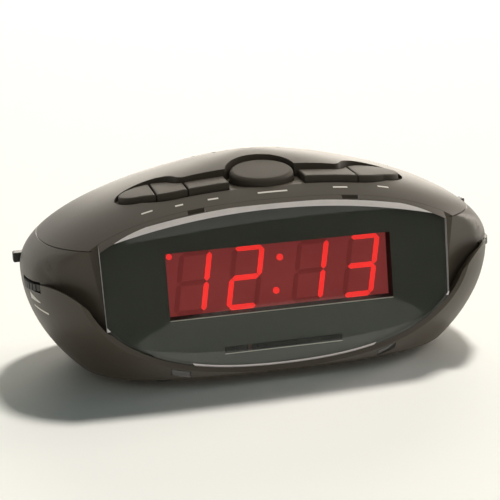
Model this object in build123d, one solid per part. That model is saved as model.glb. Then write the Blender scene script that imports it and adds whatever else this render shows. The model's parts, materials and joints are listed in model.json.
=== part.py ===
from build123d import *
import os
from math import cos, pi, radians, sin, tan

# LED alarm clock radio with an egg-shaped housing.
# Every piece is built about the egg's centre, with +Z up, -Y to the front and millimetres,
# and is moved onto its feet at the end.

# Fits
FIT = 0.3
SEAT = 0.1
RUN = 0.05
BLOCK = 300.0

# Egg-shaped housing
EGG_HALF_WIDTH = 98.2
EGG_FRONT = 62.5
EGG_REAR = 60.0
EGG_CROWN = 42.0
EGG_DROP = 70.0
EGG_SETBACK = -4.5
plan_share = 0.756
crown_side_share = 0.6
crown_end_share = 0.22
drop_side_share = 0.522
drop_end_share = 0.522
WALL = 2.2
BASE_DROP = 40.6
BASE_ROUND = 4.0
FLOOR = 2.2
SEAM_RISE = 13.9
SEAM_GAP = 0.3
SEAM_DEPTH = 0.8
RIM_BREAK = 26.0
RIM_END = 91.0
TONGUE = 3.0
LIP = 1.0
LIP_STEP = 2.0

# Lens and cheeks
LENS_REACH = 47.3
LENS_LEAN = 5.4
LENS_THICK = 3.0
LENS_HALF_WIDTH = 69.6
LENS_SIDE_LEAN = 0.9
LENS_TOP = 24.2
LENS_SHOULDER = 14.2
LENS_CORNER_DROP = 16.2
LENS_RIM = 1.2
BEVEL_RISE = 7.0
RIM_SETBACK = 0.3
CHEEK_SETBACK = 2.0
TAB_X = 42.0
TAB_HALF = 3.6
TAB_NEAR = 1.0
NOTCH_X = 31.0
NOTCH_HALF = 3.4
NOTCH_NEAR = 1.2
CHEEK_TURN = 31.0

# Fascia and display window
FASCIA_THICK = 2.0
WINDOW_SHIFT = 0.9
WINDOW_HALF = 45.4
WINDOW_TOP = 10.3
WINDOW_BOTTOM = -16.2
WINDOW_DEPTH = 6.0
WINDOW_WALL = 1.2
SILL = 0.6
SLOT_HALF = 24.0
SLOT_HEIGHT = 3.0
SLOT_MIDDLE = -29.9
FASCIA_POST = 2.4
FASCIA_POST_X = 50.3
FASCIA_POST_TOP = 10.0
FASCIA_POST_LOW = -13.5

# Display
FACE_THICK = 1.5
FACE_MARGIN = 1.2
BAR_PROUD = 0.3
BLOCK_DEPTH = 7.0
BOARD_THICK = 1.6
DISPLAY_BOARD_HALF = 53.0
DISPLAY_BOARD_TOP = 13.6
DISPLAY_BOARD_LOW = -17.6
DIGIT_HEIGHT = 24.9
DIGIT_WIDTH = 13.0
DIGIT_MIDDLE = -3.1
DIGIT_SLANT = 10.5
DIGIT_PITCH = 21.2
COLON_PITCH = 26.4
BAR_WIDTH = 2.0
BAR_GAP = 0.35
COLON_RADIUS = 1.3
COLON_RISE = 6.5
DOT_RADIUS = 1.1
DOT_X = -42.1
DOT_Y = 7.8
CLOCK_CHIP_LENGTH = 36.0
CLOCK_CHIP_HEIGHT = 14.0
CLOCK_CHIP_THICK = 3.5

# Button recess in the top cover
PAN_FRONT = 33.0
PAN_RISE = 31.4
PAN_ROLL = 320.0
PAN_SLOPE = 4.0
PAN_FLOOR = 2.0
MOAT = 1.7
STRIP_INNER = 15.5
STRIP_BEND = 36.0
STRIP_REAR = 21.7
STRIP_BOW = 25.0
STRIP_BLEND = 6.0
LOBE_X = 46.8
LOBE_Y = -20.9
LOBE_HALF_WIDTH = 11.4
LOBE_HALF_DEPTH = 8.3
SNOOZE_Y = -22.8
SNOOZE_HALF_WIDTH = 13.0
SNOOZE_HALF_DEPTH = 11.6

# Buttons
BUTTON_RISE = 3.0
BUTTON_ROUND = 0.7
BUTTON_SPLIT = 0.5
SNOOZE_RISE = 3.0
SNOOZE_SLOPE = 12.0
SNOOZE_ROUND = 1.8
FLANGE_LIP = 1.2
FLANGE_THICK = 1.2
STEM_RADIUS = 2.0
BUTTON_TRAVEL = 1.0
TIME_SPLIT = 32.0
HOUR_SPLIT = 44.5
ALARM_SPLIT = 37.5
STRIP_END = 58.0
STEM_Y = -28.0

# Key board
KEY_BOARD_TOP = 18.0
KEY_BOARD_FRONT = 38.9
KEY_BOARD_REAR = 14.8
KEY_SIZE = 6.0
KEY_HEIGHT = 3.5
KEY_POST = 2.2
KEY_POST_REAR_X = 22.0
KEY_POST_REAR_Y = -17.4
KEY_POST_FRONT_X = 30.0
KEY_POST_FRONT_Y = -36.7

# Speaker and its holes
SPEAKER_Y = 16.0
SPEAKER_RADIUS = 27.4
SPEAKER_TOP = 22.0
SPEAKER_FLANGE = 2.0
SPEAKER_DEPTH = 13.0
SPEAKER_NECK = 14.0
SHEET = 1.0
MAGNET_RADIUS = 16.0
MAGNET_HEIGHT = 8.0
CONE_RADIUS = 20.5
CONE_NECK = 8.0
CONE_DEPTH = 8.5
CAP_HEIGHT = 3.0
SPEAKER_POST = 2.4
SPEAKER_POST_RING = 25.0
GRILLE_Y = 19.0
GRILLE_HALF = 30.0
GRILLE_DEPTH = 18.0
GRILLE_HOLE = 1.0
GRILLE_PITCH = 5.5

# Main board
BOARD_TOP = -7.9
BOARD_INSET = 9.0
BOARD_FRONT = 24.0
BOARD_REAR = 24.0
BOARD_NOTCH_REAR = 17.0
BOARD_POST = 3.2
BOARD_POST_X = 62.0
BOARD_POST_FRONT = -17.6
BOARD_POST_REAR = 8.0
RADIO_CHIP_LENGTH = 20.0
RADIO_CHIP_WIDTH = 7.0
RADIO_CHIP_HEIGHT = 3.5
RADIO_CHIP_X = -28.0
RADIO_CHIP_Y = -3.0
CAN_RADIUS = 4.0
CAN_HEIGHT = 11.0
CAN_X = 46.0
CAN_Y = 2.0
CAN_PITCH = 10.5
CAN_COUNT = 2

# Aerial rod
ROD_RADIUS = 4.0
ROD_LENGTH = 90.0
ROD_Y = -16.0
ROD_LIFT = 1.4
ROD_SADDLE_X = 36.0
ROD_SADDLE_THICK = 5.0
ROD_SADDLE_WALL = 1.6
AERIAL_COIL_LENGTH = 24.0
AERIAL_COIL_WALL = 1.1

# Thumb wheels
WHEEL_RADIUS = 18.0
WHEEL_X = 79.5
WHEEL_Y = -17.6
WHEEL_TOP = -0.3
WHEEL_THICK = 2.6
WHEEL_SLOT_FRONT = 31.5
WHEEL_SLOT_REAR = 13.0
WHEEL_SLOT_IN = 20.0
WHEEL_RIBS = 48
WHEEL_RIB_CUT = 0.45
SHAFT_RADIUS = 3.0
SHAFT_DEPTH = 2.6
POT_SIZE = 15.0
POT_GAP = 0.7
WHEEL_RELIEF = 0.6

# Dial drive
DRUM_RADIUS = 6.0
DRUM_FLANGE = 7.0
DRUM_THICK = 4.0
CORD_RADIUS = 0.4
CORD_DROP = -20.0
CORD_CLEAR = 0.25
GANG_SIZE = 17.0
GANG_HEIGHT = 7.5
IDLER_X = -40.0
IDLER_PIN = 1.5
PIN_HEAD = 2.6
PIN_HEAD_THICK = 1.0
POINTER_X = -13.0
POINTER_WIDTH = 1.2
POINTER_THICK = 0.8
POINTER_TOP = -22.4
POINTER_LOW = -34.0
POINTER_CLEAR = 0.5
CARRIAGE_WIDTH = 6.0
CARRIAGE_WALL = 1.4
DIAL_HALF = 30.0
DIAL_TOP = -24.6
DIAL_LOW = -36.0
DIAL_THICK = 1.0
DIAL_GAP = 0.6

# Side slide knobs
KNOB_Y = 13.5
KNOB_LENGTH = 5.2
KNOB_HEIGHT = 4.0
FUNCTION_MIDDLE = 2.6
BAND_MIDDLE = 7.6
KNOB_REACH = 100.4
KNOB_ROUND = 0.8
KNOB_TRAVEL = 3.0
SWITCH_OUT = 85.5
SWITCH_IN = 79.5
SWITCH_LENGTH = 15.0
SWITCH_RISE = 3.2

# Transformer
CORE_X = -39.5
CORE_WIDTH = 38.0
CORE_REAR = 36.0
CORE_THICK = 11.0
CORE_HEIGHT = 30.0
LEG = 6.0
COIL_WALL = 3.4
STRAP = 1.0
STRAP_FOOT = 3.5

# Backup battery and its door
BATTERY_LENGTH = 48.5
BATTERY_WIDTH = 26.5
BATTERY_HEIGHT = 17.5
BATTERY_X = 3.0
BATTERY_Y = 9.0
BATTERY_LIFT = 0.5
BATTERY_ROUND = 2.0
STUD_RADIUS = 3.0
STUD_HEIGHT = 2.0
STUD_PITCH = 12.7
SNAP_THICK = 2.0
SNAP_WALL = 1.2
BAY_WALL = 1.4
BAY_HEIGHT = 12.0
DOOR_THICK = 1.8
DOOR_MARGIN = 1.0
DOOR_LEDGE = 1.2

# Feet, screws and cord inlet
FOOT_RADIUS = 5.5
FOOT_HEIGHT = 3.0
FOOT_FRONT_X = 46.0
FOOT_FRONT_Y = -31.0
FOOT_REAR_X = 62.0
FOOT_REAR_Y = 23.0
FOOT_ROUND = 0.8
POST_RADIUS = 4.4
POST_FRONT_X = 58.0
POST_FRONT_Y = -32.0
POST_REAR_X = 21.0
POST_REAR_Y = 43.5
POST_SPLIT = -9.5
SCREW_SHANK = 1.4
SCREW_HOLE = 1.5
SCREW_HEAD = 2.8
SCREW_HEAD_THICK = 1.8
SCREW_SEAT = -22.0
SCREW_LENGTH = 22.0
SCREW_WELL = 3.1
SMALL_SHANK = 1.0
SMALL_HOLE = 1.1
SMALL_HEAD = 2.0
SMALL_HEAD_THICK = 1.2
SMALL_LENGTH = 6.0
INLET_X = -8.0
INLET_Z = -24.0
INLET_RADIUS = 3.0
INLET_SLEEVE = 4.6
INLET_FLANGE = 6.0
INLET_FLANGE_THICK = 2.0
INLET_PAD = 8.0
INLET_FACE = 51.0
INLET_PAD_THICK = 3.0
pad_reach_share = 4

# Worked-out places
lean = radians(LENS_LEAN)
turn = radians(CHEEK_TURN)
slope = radians(PAN_SLOPE)
snooze_slope = radians(SNOOZE_SLOPE)
board_low = BOARD_TOP - BOARD_THICK
floor_top = -BASE_DROP + FLOOR
lens_back = LENS_THICK + SEAT
fascia_back = lens_back + FASCIA_THICK
face_front = lens_back + WINDOW_DEPTH
face_back = face_front + FACE_THICK
block_back = face_back + BLOCK_DEPTH
wheel_low = WHEEL_TOP - WHEEL_THICK
rod_z = BOARD_TOP + ROD_LIFT + ROD_RADIUS
speaker_low = SPEAKER_TOP - SPEAKER_DEPTH
pan_floor_low = -PAN_FLOOR
flange_top = pan_floor_low - FIT
flange_low = flange_top - FLANGE_THICK
key_top = KEY_BOARD_TOP + KEY_HEIGHT
rim_corner = LENS_HALF_WIDTH - LENS_CORNER_DROP * tan(radians(LENS_SIDE_LEAN))
groove_radius = DRUM_RADIUS - CORD_RADIUS - CORD_CLEAR
drum_low = CORD_DROP - DRUM_THICK / 2
drum_top = CORD_DROP + DRUM_THICK / 2
cord_front = WHEEL_Y - DRUM_RADIUS

LOW = (Align.CENTER, Align.CENTER, Align.MIN)
HIGH = (Align.CENTER, Align.CENTER, Align.MAX)
FRONT = Plane(origin=(0, -LENS_REACH, 0), x_dir=(1, 0, 0), z_dir=(0, -cos(lean), sin(lean)))


# Building blocks

def egg(inset=0):
    """Egg-shaped solid with every half size less by inset."""
    width = EGG_HALF_WIDTH - inset
    halves = ((EGG_CROWN - inset, crown_side_share, crown_end_share),
              (inset - EGG_DROP, drop_side_share, drop_end_share))
    faces = []
    for side in (width, -width):
        for depth in (EGG_REAR - inset, inset - EGG_FRONT):
            plan = [(side, 0), (side, plan_share * depth), (plan_share * side, depth), (0, depth)]
            for rise, side_share, end_share in halves:
                profile = [(1, 0), (1, side_share * rise), (end_share, rise), (0, rise)]
                net = [[Vector(s * x, s * y, z) for s, z in profile] for x, y in plan]
                faces.append(Face.make_bezier_surface(net))
    return Solid(Shell(faces))


def above(height):
    """Block of all that lies above a height."""
    return Pos(0, 0, height) * Box(BLOCK, BLOCK, BLOCK, align=LOW)


def below(height):
    """Block of all that lies below a height."""
    return Pos(0, 0, height) * Box(BLOCK, BLOCK, BLOCK, align=HIGH)


def slab(near, far):
    """Slice parallel to the lens, between two depths behind its front."""
    return FRONT.offset(-near) * Box(BLOCK, BLOCK, far - near, align=HIGH)


def behind(depth):
    """All that lies behind a depth from the lens front."""
    return slab(depth, depth + BLOCK)


def on_front(sketch, near, far):
    """Sketch on the lens plane, extruded between two depths behind its front."""
    return extrude(FRONT.offset(-near) * sketch, near - far)


def span(low_x, high_x, low_y, high_y):
    """Rectangle between two corners."""
    middle = Pos((low_x + high_x) / 2, (low_y + high_y) / 2)
    return middle * Rectangle(high_x - low_x, high_y - low_y)


def brick(low_x, high_x, low_y, high_y, low_z, high_z):
    """Box between two corners."""
    return Pos(0, 0, low_z) * extrude(span(low_x, high_x, low_y, high_y), high_z - low_z)


def rod(radius, x, y, low, high):
    """Upright cylinder between two heights."""
    return Pos(x, y, low) * Cylinder(radius, high - low, align=LOW)


def tube(radius, bore, x, y, low, high):
    """Upright tube between two heights."""
    return rod(radius, x, y, low, high) - rod(bore, x, y, low, high)


def group(solids):
    """Several separate solids as one node."""
    return Compound([solid for part in solids for solid in part.solids()])


def both_sides(solid):
    """A solid and its mirror image across the middle plane."""
    return [solid, mirror(solid, about=Plane.YZ)]


def within_cheeks(inset=0):
    """All that lies inside the two upright cheek planes."""
    corner = Plane(
        origin=(LENS_HALF_WIDTH, CHEEK_SETBACK - LENS_REACH, 0),
        x_dir=(cos(turn), sin(turn), 0),
        z_dir=(sin(turn), -cos(turn), 0),
    )
    half = corner.offset(-inset) * Box(BLOCK, BLOCK, BLOCK, align=HIGH)
    return half & mirror(half, about=Plane.YZ)


def below_rim(lift=0):
    """All that lies below the rim of the bowl: level, then sinking to the lens corners at the front."""
    low = lift - LENS_CORNER_DROP
    middle = (rim_corner + RIM_END) / 2
    sink = Bezier((RIM_END, lift), (middle, lift), (rim_corner, low))
    climb = Bezier((-rim_corner, low), (-middle, lift), (-RIM_END, lift))
    level = Line((rim_corner, low), (-rim_corner, low))
    around = Polyline(
        (-RIM_END, lift), (-BLOCK, lift), (-BLOCK, -BLOCK), (BLOCK, -BLOCK), (BLOCK, lift), (RIM_END, lift),
    )
    face = make_face([sink, level, climb, *around.edges()])
    front = extrude(Plane.XZ.offset(RIM_BREAK) * face, BLOCK)
    return front + brick(-BLOCK, BLOCK, -RIM_BREAK, BLOCK, -BLOCK, lift)


def pan_roll(rise, tilt=slope):
    """Long roll whose skin lies a rise above the front of the recess floor and climbs at a tilt."""
    along = Vector(0, cos(tilt), sin(tilt))
    up = Vector(0, -sin(tilt), cos(tilt))
    centre = Vector(0, -PAN_FRONT, PAN_RISE) - up * PAN_ROLL
    return Plane(origin=centre, x_dir=(1, 0, 0), z_dir=along) * Cylinder(PAN_ROLL + rise, BLOCK)


def pan_height(x, y):
    """Height of the recess floor at a point."""
    return PAN_RISE - x * x / (2 * PAN_ROLL) + (y + PAN_FRONT) * tan(slope)


def strip_outline(grow=0):
    """Plan of the right-hand row of buttons: a neck that swells into an oval lobe."""
    near = -PAN_FRONT - grow
    rear = grow - STRIP_REAR
    neck = span(STRIP_INNER - grow, STRIP_BEND, near, rear)
    bow = Pos(STRIP_BEND, STRIP_BOW - PAN_FRONT) * Circle(STRIP_BOW + grow)
    front = bow & span(STRIP_BEND, STRIP_BEND + STRIP_BOW, near, LOBE_Y)
    lobe = Pos(LOBE_X, LOBE_Y) * Ellipse(LOBE_HALF_WIDTH + grow, LOBE_HALF_DEPTH + grow)
    outline = neck + front + lobe
    inner_corner = outline.vertices().sort_by_distance((STRIP_BEND, rear, 0))[0]
    return fillet(inner_corner, STRIP_BLEND - grow)


def snooze_outline(grow=0):
    """Plan of the oval middle button."""
    return Pos(0, SNOOZE_Y) * Ellipse(SNOOZE_HALF_WIDTH + grow, SNOOZE_HALF_DEPTH + grow)


def pan_plan(grow):
    """Plan of the whole recess, grown past the buttons."""
    strip = strip_outline(grow)
    bridge = span(-STRIP_INNER, STRIP_INNER, -PAN_FRONT - grow, grow - STRIP_REAR)
    return snooze_outline(grow) + strip + mirror(strip, about=Plane.YZ) + bridge


def recess(grow, rise):
    """Solid above the recess floor, inside the recess walls."""
    return extrude(pan_plan(grow), BLOCK) - pan_roll(rise)


# Housing

def wheel_slots():
    """Cuts through the rim for the two thumb wheels."""
    cut = brick(
        WHEEL_X, WHEEL_X + WHEEL_SLOT_IN + WHEEL_RADIUS, -WHEEL_SLOT_FRONT, -WHEEL_SLOT_REAR,
        wheel_low - WHEEL_RELIEF, 0,
    )
    return both_sides(cut)


def wheel_rooms():
    """Running room round the two thumb wheels."""
    room = rod(WHEEL_RADIUS + WHEEL_RELIEF, WHEEL_X, WHEEL_Y, wheel_low - WHEEL_RELIEF, WHEEL_RELIEF)
    return both_sides(room)


def corner_places():
    """Places of the four long housing screws."""
    return [(side * x, y) for side in (1, -1) for x, y in
            ((POST_FRONT_X, POST_FRONT_Y), (POST_REAR_X, POST_REAR_Y))]


def board_places():
    """Places of the four main board screws."""
    return [(side * BOARD_POST_X, y) for side in (1, -1) for y in (BOARD_POST_FRONT, BOARD_POST_REAR)]


def foot_places():
    """Places of the four feet."""
    return [(side * x, y) for side in (1, -1) for x, y in
            ((FOOT_FRONT_X, FOOT_FRONT_Y), (FOOT_REAR_X, FOOT_REAR_Y))]


def door_span(grow=0):
    """Plan of the battery door."""
    return span(
        BATTERY_X - DOOR_MARGIN - grow, BATTERY_X + BATTERY_LENGTH + DOOR_MARGIN + grow,
        BATTERY_Y - DOOR_MARGIN - grow, BATTERY_Y + BATTERY_WIDTH + DOOR_MARGIN + grow,
    )


def battery_bay():
    """Upright ribs round the backup battery."""
    low_x = BATTERY_X - FIT
    high_x = BATTERY_X + BATTERY_LENGTH + STUD_HEIGHT + SNAP_THICK + SNAP_WALL + FIT
    low_y = BATTERY_Y - FIT
    high_y = BATTERY_Y + BATTERY_WIDTH + FIT
    outside = span(low_x - BAY_WALL, high_x + BAY_WALL, low_y - BAY_WALL, high_y + BAY_WALL)
    ring = outside - span(low_x, high_x, low_y, high_y)
    return Pos(0, 0, floor_top) * extrude(ring, BAY_HEIGHT)


def inlet_cut(radius, low, high):
    """Level cylinder through the rear wall at the cord inlet."""
    return Pos(INLET_X, low, INLET_Z) * Rot(-90, 0, 0) * Cylinder(radius, high - low, align=LOW)


def bottom_shell():
    """Lower bowl with its posts, battery bay, wheel slots and cord inlet."""
    bowl = egg() - below(-BASE_DROP)
    bowl = fillet(bowl.edges().group_by(Axis.Z)[0], BASE_ROUND)
    shell = (bowl - (egg(WALL) & above(floor_top))) & below_rim()
    beside = egg() - within_cheeks(-FIT)
    shell += beside & below_rim()
    shell -= (beside & egg(LIP)) - below_rim(-LIP_STEP)
    shell = shell & behind(RIM_SETBACK)
    shell -= egg(LENS_RIM) & on_front(lens_sides(FIT), -FIT, lens_back)
    for x in (TAB_X, -TAB_X):
        shell -= lens_tab(x, FIT)
    pad = brick(INLET_X - INLET_PAD, INLET_X + INLET_PAD, INLET_FACE - INLET_PAD_THICK, BLOCK / 2,
                INLET_Z - INLET_PAD, INLET_Z + INLET_PAD)
    shell += pad & (egg() - egg(WALL * pad_reach_share)) & below_rim()
    shell -= brick(INLET_X - INLET_PAD + WALL, INLET_X + INLET_PAD - WALL, INLET_FACE, BLOCK / 2,
                   INLET_Z - INLET_PAD + WALL, INLET_Z + INLET_PAD - WALL)
    shell -= inlet_cut(INLET_SLEEVE, INLET_FACE - INLET_PAD, INLET_FACE + INLET_PAD)
    for x, y in corner_places():
        shell += rod(POST_RADIUS, x, y, -BASE_DROP, POST_SPLIT) & egg(WALL / 2)
        shell -= rod(SCREW_WELL, x, y, -BASE_DROP, SCREW_SEAT)
        shell -= rod(SCREW_HOLE + FIT, x, y, SCREW_SEAT, POST_SPLIT)
    for x, y in board_places():
        shell += tube(BOARD_POST, SMALL_HOLE, x, y, floor_top, board_low)
    shell += battery_bay()
    shell -= Pos(0, 0, -BASE_DROP) * extrude(door_span(FIT), DOOR_THICK + SEAT)
    shell -= Pos(0, 0, -BASE_DROP) * extrude(door_span(FIT - DOOR_LEDGE), FLOOR)
    for cut in wheel_slots() + wheel_rooms():
        shell -= cut
    return shell


def knob_slot(middle):
    """Cut in the right-hand side wall for a slide knob."""
    reach = KNOB_LENGTH / 2 + KNOB_TRAVEL + FIT
    half = KNOB_HEIGHT / 2 + FIT
    return brick(SWITCH_OUT, BLOCK / 2, KNOB_Y - reach, KNOB_Y + reach, middle - half, middle + half)


def middle_shell():
    """Band between the bowl and the top cover, with the two flat cheeks."""
    cheeks = within_cheeks()
    hollow = egg(WALL) & within_cheeks(WALL)
    band = ((egg() & cheeks) - below_rim()) & below(SEAM_RISE)
    tongue = ((egg(WALL + FIT) & cheeks & below_rim()) - below_rim(-TONGUE)) - within_cheeks(WALL)
    shell = (band + tongue) - hollow
    shell = shell & behind(lens_back)
    shell -= above(SEAM_RISE - SEAM_GAP) - egg(SEAM_DEPTH)
    shell -= knob_slot(BAND_MIDDLE)
    shell -= mirror(knob_slot(FUNCTION_MIDDLE), about=Plane.YZ)
    for cut in wheel_rooms():
        shell -= cut
    return shell


def grille_places():
    """Staggered rows of speaker holes inside an oval."""
    row_pitch = GRILLE_PITCH * sin(pi / 3)
    rows = int(GRILLE_DEPTH / row_pitch)
    columns = int(GRILLE_HALF / GRILLE_PITCH) + 1
    places = []
    for row in range(-rows, rows + 1):
        y = row * row_pitch
        for column in range(-columns, columns + 1):
            x = (column + row % 2 / 2) * GRILLE_PITCH
            if (x / GRILLE_HALF) ** 2 + (y / GRILLE_DEPTH) ** 2 <= 1:
                places.append((x, GRILLE_Y + y))
    return places


def speaker_post_places():
    """Places of the four speaker posts."""
    reach = SPEAKER_POST_RING * cos(pi / 4)
    return [(i * reach, SPEAKER_Y + j * reach) for i in (1, -1) for j in (1, -1)]


def key_post_places():
    """Places of the four key board posts."""
    return [(side * x, y) for side in (1, -1) for x, y in
            ((KEY_POST_REAR_X, KEY_POST_REAR_Y), (KEY_POST_FRONT_X, KEY_POST_FRONT_Y))]


def cover_posts():
    """Posts under the cover for the housing screws, the key board and the speaker, each with its hole."""
    posts = []
    for x, y in corner_places():
        hole = rod(SCREW_HOLE, x, y, POST_SPLIT, SCREW_SEAT + SCREW_LENGTH + FIT)
        posts.append((rod(POST_RADIUS, x, y, POST_SPLIT, EGG_CROWN), hole))
    for radius, foot, places in ((KEY_POST, KEY_BOARD_TOP, key_post_places()),
                                 (SPEAKER_POST, SPEAKER_TOP, speaker_post_places())):
        for x, y in places:
            hole = rod(SMALL_HOLE, x, y, foot, foot + SMALL_LENGTH)
            posts.append((rod(radius, x, y, foot, EGG_CROWN), hole))
    return posts


def top_cover():
    """Domed cap with the button recess, button openings and speaker holes."""
    cap = (egg() & above(SEAM_RISE)) & behind(lens_back)
    hollow = egg(WALL) - recess(MOAT + WALL, -PAN_FLOOR)
    cover = cap - hollow
    cover -= recess(MOAT, 0)
    inside = egg(WALL / 2)
    for post, hole in cover_posts():
        cover += post & inside
        cover -= hole
    strip = strip_outline(FIT)
    for opening in (snooze_outline(FIT), strip, mirror(strip, about=Plane.YZ)):
        cover -= extrude(opening, BLOCK)
    holes = [rod(GRILLE_HOLE, x, y, SPEAKER_TOP + SPEAKER_FLANGE, BLOCK) for x, y in grille_places()]
    return cover - holes


def lens_sides(grow=0):
    """Tall outline between the two lens sides."""
    spread = tan(radians(LENS_SIDE_LEAN)) * EGG_CROWN
    half = LENS_HALF_WIDTH + grow
    wide = half + spread
    slim = half - spread
    corners = ((wide, EGG_CROWN), (-wide, EGG_CROWN), (-slim, -EGG_CROWN), (slim, -EGG_CROWN))
    return make_face(Polyline(*corners, close=True))


def lens_tab(x, grow=0):
    """Snap tab under the lens, flush with the bowl."""
    reach = TAB_HALF + grow
    room = brick(x - reach, x + reach, -BLOCK, 0, -BASE_DROP, -LENS_CORNER_DROP)
    return egg() & slab(TAB_NEAR - grow, LENS_THICK) & room


def lens_notch(x):
    """Notch in the bevelled top edge of the lens."""
    return slab(NOTCH_NEAR, lens_back) & brick(x - NOTCH_HALF, x + NOTCH_HALF, -BLOCK, 0, LENS_TOP, BLOCK)


def lens():
    """Clear front plate, flush with the egg, with a bevelled top edge and snap tabs."""
    plate = (egg() & above(0)) + (egg(LENS_RIM + FIT) & below(0))
    plate = plate & on_front(lens_sides(), 0, LENS_THICK)
    plate -= bevel_block()
    for x in (TAB_X, -TAB_X):
        plate += lens_tab(x)
    for x in (NOTCH_X, -NOTCH_X):
        plate -= lens_notch(x)
    return plate


def bevel_block():
    """Block above the bevel: its lower face rises from the lens front to the lens back."""
    faces = []
    for depth, lift in ((0, 0), (LENS_THICK, BEVEL_RISE)):
        half = LENS_HALF_WIDTH + LENS_THICK
        shoulder = LENS_SHOULDER + lift
        arc = ThreePointArc((-half, shoulder), (0, LENS_TOP + lift), (half, shoulder))
        roof = Polyline((half, shoulder), (half, 2 * EGG_CROWN), (-half, 2 * EGG_CROWN), (-half, shoulder))
        faces.append(FRONT.offset(-depth) * make_face([arc, *roof.edges()]))
    return loft(faces)


# Display

def window_span(grow=0):
    """Plan of the display window on the lens plane."""
    half = WINDOW_HALF + grow
    return span(WINDOW_SHIFT - half, WINDOW_SHIFT + half, WINDOW_BOTTOM - grow, WINDOW_TOP + grow)


def fascia():
    """Dark mask behind the lens, with the window tunnel, the dial slot and board posts."""
    inside = egg(WALL + FIT) & within_cheeks(WALL + FIT) & above(floor_top + FIT)
    plate = inside & slab(lens_back, fascia_back)
    plate += on_front(window_span(WINDOW_WALL), lens_back, face_front)
    for x in (FASCIA_POST_X, -FASCIA_POST_X):
        for y in (FASCIA_POST_TOP, FASCIA_POST_LOW):
            plate += on_front(Pos(x, y) * Circle(FASCIA_POST), lens_back, block_back)
    plate -= on_front(window_span(), lens_back - SEAT, face_front + SEAT)
    slot = span(-SLOT_HALF, SLOT_HALF, SLOT_MIDDLE - SLOT_HEIGHT / 2, SLOT_MIDDLE + SLOT_HEIGHT / 2)
    plate -= on_front(slot, lens_back - SEAT, fascia_back + SEAT)
    return plate + sill()


def sill():
    """Sloping sill along the foot of the window."""
    low = WINDOW_BOTTOM
    wedge = Polyline((0, low), (-WINDOW_DEPTH, low), (-WINDOW_DEPTH, low + SILL), close=True)
    across = Plane(origin=FRONT.offset(-lens_back).origin, x_dir=FRONT.z_dir, z_dir=(-1, 0, 0))
    return Pos(WINDOW_SHIFT, 0, 0) * extrude(across * make_face(wedge), WINDOW_HALF, both=True)


def display_face():
    """Red face of the display."""
    return on_front(window_span(FACE_MARGIN), face_front, face_back)


def display_block():
    """Reflector block behind the red face."""
    return on_front(window_span(FACE_MARGIN), face_back, block_back)


def display_board():
    """Circuit board behind the display."""
    plan = span(-DISPLAY_BOARD_HALF, DISPLAY_BOARD_HALF, DISPLAY_BOARD_LOW, DISPLAY_BOARD_TOP)
    return on_front(plan, block_back, block_back + BOARD_THICK)


def clock_chip():
    """Clock circuit on the back of the display board."""
    back = block_back + BOARD_THICK
    return on_front(Rectangle(CLOCK_CHIP_LENGTH, CLOCK_CHIP_HEIGHT), back, back + CLOCK_CHIP_THICK)


def bar(length):
    """Corners of a level light bar with pointed ends."""
    half = length / 2
    nib = BAR_WIDTH / 2
    flat = half - nib
    return [(half, 0), (flat, nib), (-flat, nib), (-half, 0), (-flat, -nib), (flat, -nib)]


def digit_bars():
    """Corners of the seven bars of one digit, a to g, before the slant."""
    wide = DIGIT_WIDTH - BAR_WIDTH
    half_tall = (DIGIT_HEIGHT - BAR_WIDTH) / 2
    level = bar(wide - BAR_GAP)
    upright = [(-y, x) for x, y in bar(half_tall - BAR_GAP)]
    x = wide / 2
    y = half_tall / 2
    places = [(level, 0, half_tall), (upright, x, y), (upright, x, -y), (level, 0, -half_tall),
              (upright, -x, -y), (upright, -x, y), (level, 0, 0)]
    return [[(px + dx, py + dy) for px, py in points] for points, dx, dy in places]


def slanted(points, x):
    """Light bar sheared to the digits' slant and moved to its digit."""
    shear = tan(radians(DIGIT_SLANT))
    corners = [(x + px + shear * py, DIGIT_MIDDLE + py) for px, py in points]
    return make_face(Polyline(*corners, close=True))


def digit_places():
    """Middles of the four digits."""
    inner = COLON_PITCH / 2
    outer = inner + DIGIT_PITCH
    return [WINDOW_SHIFT + x for x in (-outer, -inner, inner, outer)]


def segments():
    """Light bars on the red face: those lit at thirteen past twelve, and the rest."""
    lit_bars = ("bc", "abged", "bc", "abgcd")
    lit = []
    dark = []
    for place, names in zip(digit_places(), lit_bars):
        for name, points in zip("abcdefg", digit_bars()):
            solid = on_front(slanted(points, place), face_front - BAR_PROUD, face_front)
            if name in names:
                lit.append(solid)
            else:
                dark.append(solid)
    shear = tan(radians(DIGIT_SLANT))
    dots = [(WINDOW_SHIFT + side * COLON_RISE * shear, DIGIT_MIDDLE + side * COLON_RISE, COLON_RADIUS)
            for side in (1, -1)]
    dots.append((DOT_X, DOT_Y, DOT_RADIUS))
    for x, y, radius in dots:
        lit.append(on_front(Pos(x, y) * Circle(radius), face_front - BAR_PROUD, face_front))
    return group(lit), group(dark)


# Buttons and key board

def button(outline, flange, top, rounding, stem):
    """Button cap that stands through the recess floor, with its flange and stem."""
    stem_x, stem_y = stem
    cap = (extrude(outline, BLOCK) & top) - pan_roll(flange_top)
    cap = fillet(cap.edges().filter_by(is_top), rounding)
    foot = (extrude(flange, BLOCK) & pan_roll(flange_top)) - pan_roll(flange_low)
    foot = foot & egg(WALL + FIT)
    post = rod(STEM_RADIUS, stem_x, stem_y, key_top + BUTTON_TRAVEL + FIT, BLOCK) & pan_roll(flange_top)
    return cap + foot + post


def is_top(edge):
    """Whether an edge lies on a button's top skin."""
    points = [edge.position_at(t) for t in (0, 1 / 2, 1)]
    return all(p.Z > pan_height(p.X, p.Y) + BUTTON_RISE / 2 for p in points)


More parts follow.
